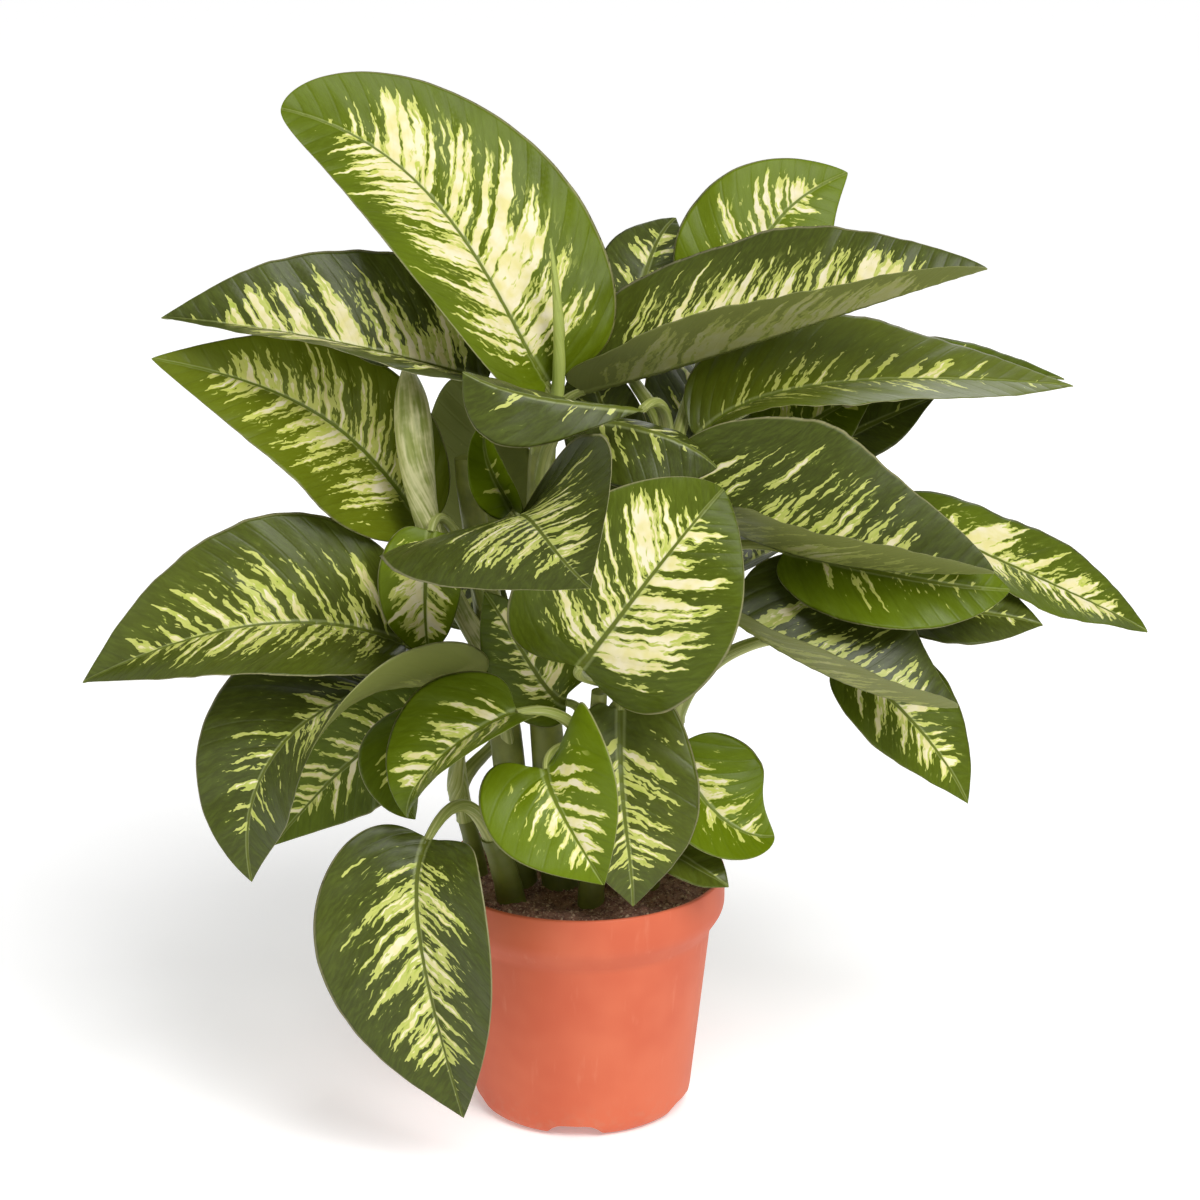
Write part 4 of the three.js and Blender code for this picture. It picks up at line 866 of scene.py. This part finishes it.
def fromBmesh(name, built, smooth=True):
    bmesh.ops.recalc_face_normals(built, faces=built.faces)
    for face in built.faces:
        face.smooth = smooth
    mesh = bpy.data.meshes.new(name)
    built.to_mesh(mesh)
    built.free()
    return newObject(name, mesh)


def revolved(path, sides):
    built = bmesh.new()
    rings = []
    for point in path:
        turns = [2 * math.pi * i / sides for i in range(sides if point.x > 1e-6 else 1)]
        across, up = point.x * mm, point.y * mm
        rings.append([built.verts.new((across * math.cos(a), across * math.sin(a), up)) for a in turns])
    for lower, upper in zip(rings, rings[1:]):
        for i in range(sides):
            pair = [lower[i % len(lower)], lower[(i + 1) % len(lower)]]
            pair += [upper[(i + 1) % len(upper)], upper[i % len(upper)]]
            built.faces.new(list(dict.fromkeys(pair)))
    return built


def drainNotch(angle):
    low, high, height = drain["bottomWidth"] / 2, drain["topWidth"] / 2, drain["height"]
    left = [(-low - drain["flare"], -drain["flareDrop"], 0), (-low, 0, drain["footCurve"]),
            (-high - drain["lean"], height, drain["topCurve"])]
    outline = rounded(left + [(-across, up, curve) for across, up, curve in reversed(left)])
    inner = pot["footRadius"] - drain["start"]
    turn = Matrix.Rotation(math.radians(angle), 4, "Z")
    built = bmesh.new()
    loops = [[built.verts.new(turn @ Vector((x, point.x, point.y)) * mm) for point in outline]
             for x in (inner, inner + drain["depth"])]
    for i in range(len(outline)):
        j = (i + 1) % len(outline)
        built.faces.new((loops[0][i], loops[0][j], loops[1][j], loops[1][i]))
    for loop in loops:
        built.faces.new(loop)
    return fromBmesh("drainNotch", built)


def makePot(finish):
    top, rim, neck, foot = pot["height"], pot["rimRadius"], pot["neckRadius"], pot["footRadius"]
    band, inner, floor = top - pot["rimBand"], rim - pot["rimWall"], pot["innerFloor"]
    shoulder = band - pot["shoulderDrop"]
    profile = rounded([  # across, up and the radius of each corner
        (0, 0, 0), (foot, 0, pot["footCorner"]), (neck, shoulder, 3), (rim, band, 5), (rim, top, 1.6),
        (inner, top, 1.2), (inner - 1, band, 4), (neck - pot["wall"], shoulder, 4),
        (foot - pot["wall"], floor, 6), (0, floor, 0),
    ])
    made = fromBmesh("nurseryPot", revolved(profile, pot["sides"]))
    for i in range(drain["count"]):
        notch = drainNotch(drain["firstAngle"] + 360 / drain["count"] * i)
        cut = made.modifiers.new("cut", "BOOLEAN")
        cut.object = notch
        applied(made, cut)
        bpy.data.objects.remove(notch)
    finished(made.data, finish)
    made.data.set_sharp_from_angle(angle=math.radians(pot["sharpFrom"]))
    handOver(made, "pot", "pot")


# the potting soil and its crumbs

soil = {
    "top": 150, "gap": 0.3, "mound": 3, "sides": 144, "rings": 44, "rough": 1.5, "clear": 1, "edge": 0.5,
    "bottomSlope": 5, "broadLump": 7, "fineLump": 2.6, "fineShare": 0.6, "crumbsFrom": 6,
}
crumbInputs = {
    "Soil": "Geometry", **dict.fromkeys(("Density", "Smallest", "Largest"), "Float"), "Seed": "Int",
    "Finish": "Material",
}
crumb = {"Density": 90000.0, "Smallest": 0.9 * mm, "Largest": 3.1 * mm, "Seed": 7}
crumbShape = {
    "radius": 0.55, "fewLarge": 2.5, "dents": 3.1, "dentDepth": 0.9, "fullTurn": 6.3,
    "flattest": (0.6, 0.6, 0.5), "fullest": (1.3, 1.2, 1.0),
}


def drawn(start, low, high, seed):
    kind, first, out = ("FLOAT_VECTOR", 0, 0) if isVector(low) else ("FLOAT", 2, 1)
    values = {first: low, first + 1: high, "Seed": seed}
    return start.make("FunctionNodeRandomValue", {"data_type": kind}, values, out)


def crumbTree():
    start, given = newTree("soilCrumbs", crumbInputs)
    body = given["Soil"]
    facing = start.make("GeometryNodeInputNormal").parts()[2]
    high = start.make("GeometryNodeInputPosition").parts()[2] > (soil["top"] - soil["crumbsFrom"]) * mm
    where = {0: body, "Selection": high * (facing > 0.5)}
    where |= {label: given[label] for label in ("Density", "Seed")}
    points = start.make("GeometryNodeDistributePointsOnFaces", values=where)
    scale = (drawn(start, 0.0, 1.0, 3) ** crumbShape["fewLarge"]).blend(given["Smallest"], given["Largest"])
    turned = drawn(start, (0.0, 0.0, 0.0), (crumbShape["fullTurn"],) * 3, 5)
    stretch = drawn(start, crumbShape["flattest"], crumbShape["fullest"], 9)
    ball = {"Radius": crumbShape["radius"], "Subdivisions": 1}
    lump = start.make("GeometryNodeMeshIcoSphere", values=ball)
    knock = (start.make("GeometryNodeInputPosition") * crumbShape["dents"]).noise() - 0.5
    lump = moved(start, lump, start.make("GeometryNodeInputNormal") * (knock * crumbShape["dentDepth"]))
    laid = {0: points, "Instance": lump, "Rotation": turned, "Scale": stretch * scale}
    crumbs = start.make("GeometryNodeInstanceOnPoints", values=laid)
    tone = start.together(drawn(start, 0.0, 1.0, 13), 0.0)
    crumbs = store(start, crumbs, "crumbTone", tone, domain="INSTANCE")
    plain = store(start, body, "crumbTone", (0.5, 0.0, 0.0))
    return endTree(start, gathered(start, crumbs, plain), given["Finish"])


def soilHeight(x, y, radius):
    inward = 1 - (x * x + y * y) / (radius * radius)
    uneven = math.sin(x / 9) * math.cos(y / 7) + math.sin((x + 2 * y) / 13)
    return soil["mound"] * inward * (1 + 0.4 * uneven) + 0.3 * uneven


def makeSoil(finish):
    clear = soil["clear"]
    radius = pot["rimRadius"] - pot["rimWall"] - clear - soil["gap"]
    band = pot["height"] - pot["rimBand"]
    floor = pot["innerFloor"] + soil["gap"]
    profile = [
        (0, floor), (pot["footRadius"] - pot["footCorner"] - clear, floor),
        (pot["footRadius"] - pot["wall"] - clear, floor + soil["bottomSlope"]),
        (pot["neckRadius"] - pot["wall"] - clear, band - pot["shoulderDrop"]),
        (radius - soil["edge"], band),
    ]
    profile += [(radius * (1 - i / soil["rings"]), soil["top"]) for i in range(soil["rings"] + 1)]
    built = revolved([Vector(point) for point in profile], soil["sides"])
    for vertex in built.verts:
        if vertex.co.z > (soil["top"] - 1) * mm:
            x, y = vertex.co.x / mm, vertex.co.y / mm
            lump = noise.noise(Vector((x, y, 0)) / soil["broadLump"])
            lump += soil["fineShare"] * noise.noise(Vector((x, y, 9)) / soil["fineLump"])
            vertex.co.z += (soilHeight(x, y, radius) + soil["rough"] * lump) * mm
    body = fromBmesh("soilBody", built)
    piece = grow("pottingSoil", crumbTree(), {**crumb, "Finish": finish}, body.data)
    bpy.data.objects.remove(body)
    handOver(piece, "soil", "soil")


# the camera, the floor and the light

view = {"place": (0.0114, -2.2, 1.048), "down": 17.82, "lens": 109.9, "sensor": 36.0, "farthest": 60.0}
studio = {
    "floorRadius": 16.0, "floorTone": 0.92, "floorRoughness": 0.9, "floorGlow": 0.24,
    "world": 0.4, "backdrop": 1.0, "sun": 1.7, "sunAngle": 30, "sunTilt": (32, 18),
}
panels = {  # place, size and power
    "keyPanel": ((1.1, -1.5, 1.6), 0.9, 14.0),
    "fillPanel": ((-1.4, -1.0, 1.0), 1.2, 4.0),
    "rearPanel": ((0.5, 1.9, 1.3), 1.4, 9.0),
}
lampTarget = Vector((0.0, 0.0, 0.35))
white = (1.0, 1.0, 1.0, 1.0)


def makePanel(name, place, size, power):
    lamp = bpy.data.lights.new(name, "AREA")
    lamp.shape, lamp.size, lamp.energy = "DISK", size, power
    made = newObject(name, lamp)
    made.location = place
    made.rotation_euler = (lampTarget - Vector(place)).to_track_quat("-Z", "Y").to_euler()


def makeStudio():
    scene = bpy.context.scene
    lens = bpy.data.cameras.new("photoView")
    lens.lens, lens.sensor_width, lens.clip_end = view["lens"], view["sensor"], view["farthest"]
    camera = newObject("photoView", lens)
    camera.location = view["place"]
    camera.rotation_euler = (math.radians(90 - view["down"]), 0, 0)
    scene.camera = camera

    built = bmesh.new()
    bmesh.ops.create_circle(built, cap_ends=True, segments=96, radius=studio["floorRadius"])
    floor = fromBmesh("studioFloor", built, smooth=False)
    material, _, shader = newMaterial("palePaper")
    shader.inputs["Base Color"].default_value = (*[studio["floorTone"]] * 3, 1.0)
    shader.inputs["Roughness"].default_value = studio["floorRoughness"]
    shader.inputs["Emission Color"].default_value = white
    shader.inputs["Emission Strength"].default_value = studio["floorGlow"]
    floor.data.materials.append(material)

    world = bpy.data.worlds.new("softStudio")
    scene.world = world
    world.use_nodes = True
    glow = Wire(world.node_tree)
    seen = glow.make("ShaderNodeLightPath")  # the sky that is seen is brighter than the light it gives
    strength = seen.blend(studio["world"], studio["backdrop"])
    sky = glow.make("ShaderNodeBackground", values={"Color": white, "Strength": strength})
    world.node_tree.links.new(sky.socket, world.node_tree.nodes["World Output"].inputs["Surface"])
    sun = bpy.data.lights.new("softSun", "SUN")
    sun.energy, sun.angle = studio["sun"], math.radians(studio["sunAngle"])
    newObject("softSun", sun).rotation_euler = (*map(math.radians, studio["sunTilt"]), 0)
    for name, panel in panels.items():
        makePanel(name, *panel)
    scene.view_settings.view_transform = "Standard"


# the plant

makeStudio()
print("studio ready")
makePot(potFinish())
makeSoil(soilFinish())
print("pot and soil ready")
oneStalk = stalkTree()
green = stemFinish()
for stemName in stems:
    makeStem(stemName, oneStalk, green)
print("stems ready")
oneBlade = bladeTree()
leafFinishes = {
    "mature": leafFinish("matureLeaf", "#3d4412", "#626d0c", 0.34, 0.25),
    "fresh": leafFinish("freshLeaf", "#424d08", "#627504", 0.34, 0.16),
    "cream": leafFinish("creamLeaf", "#404a08", "#667804", 0.36, 0.16),
}
for number, (leafName, leaf) in enumerate(leaves.items()):
    makeBlade(leafName, leaf, number, oneBlade, leafFinishes)
print("leaves ready", len(leaves))

bpy.context.view_layer.update()
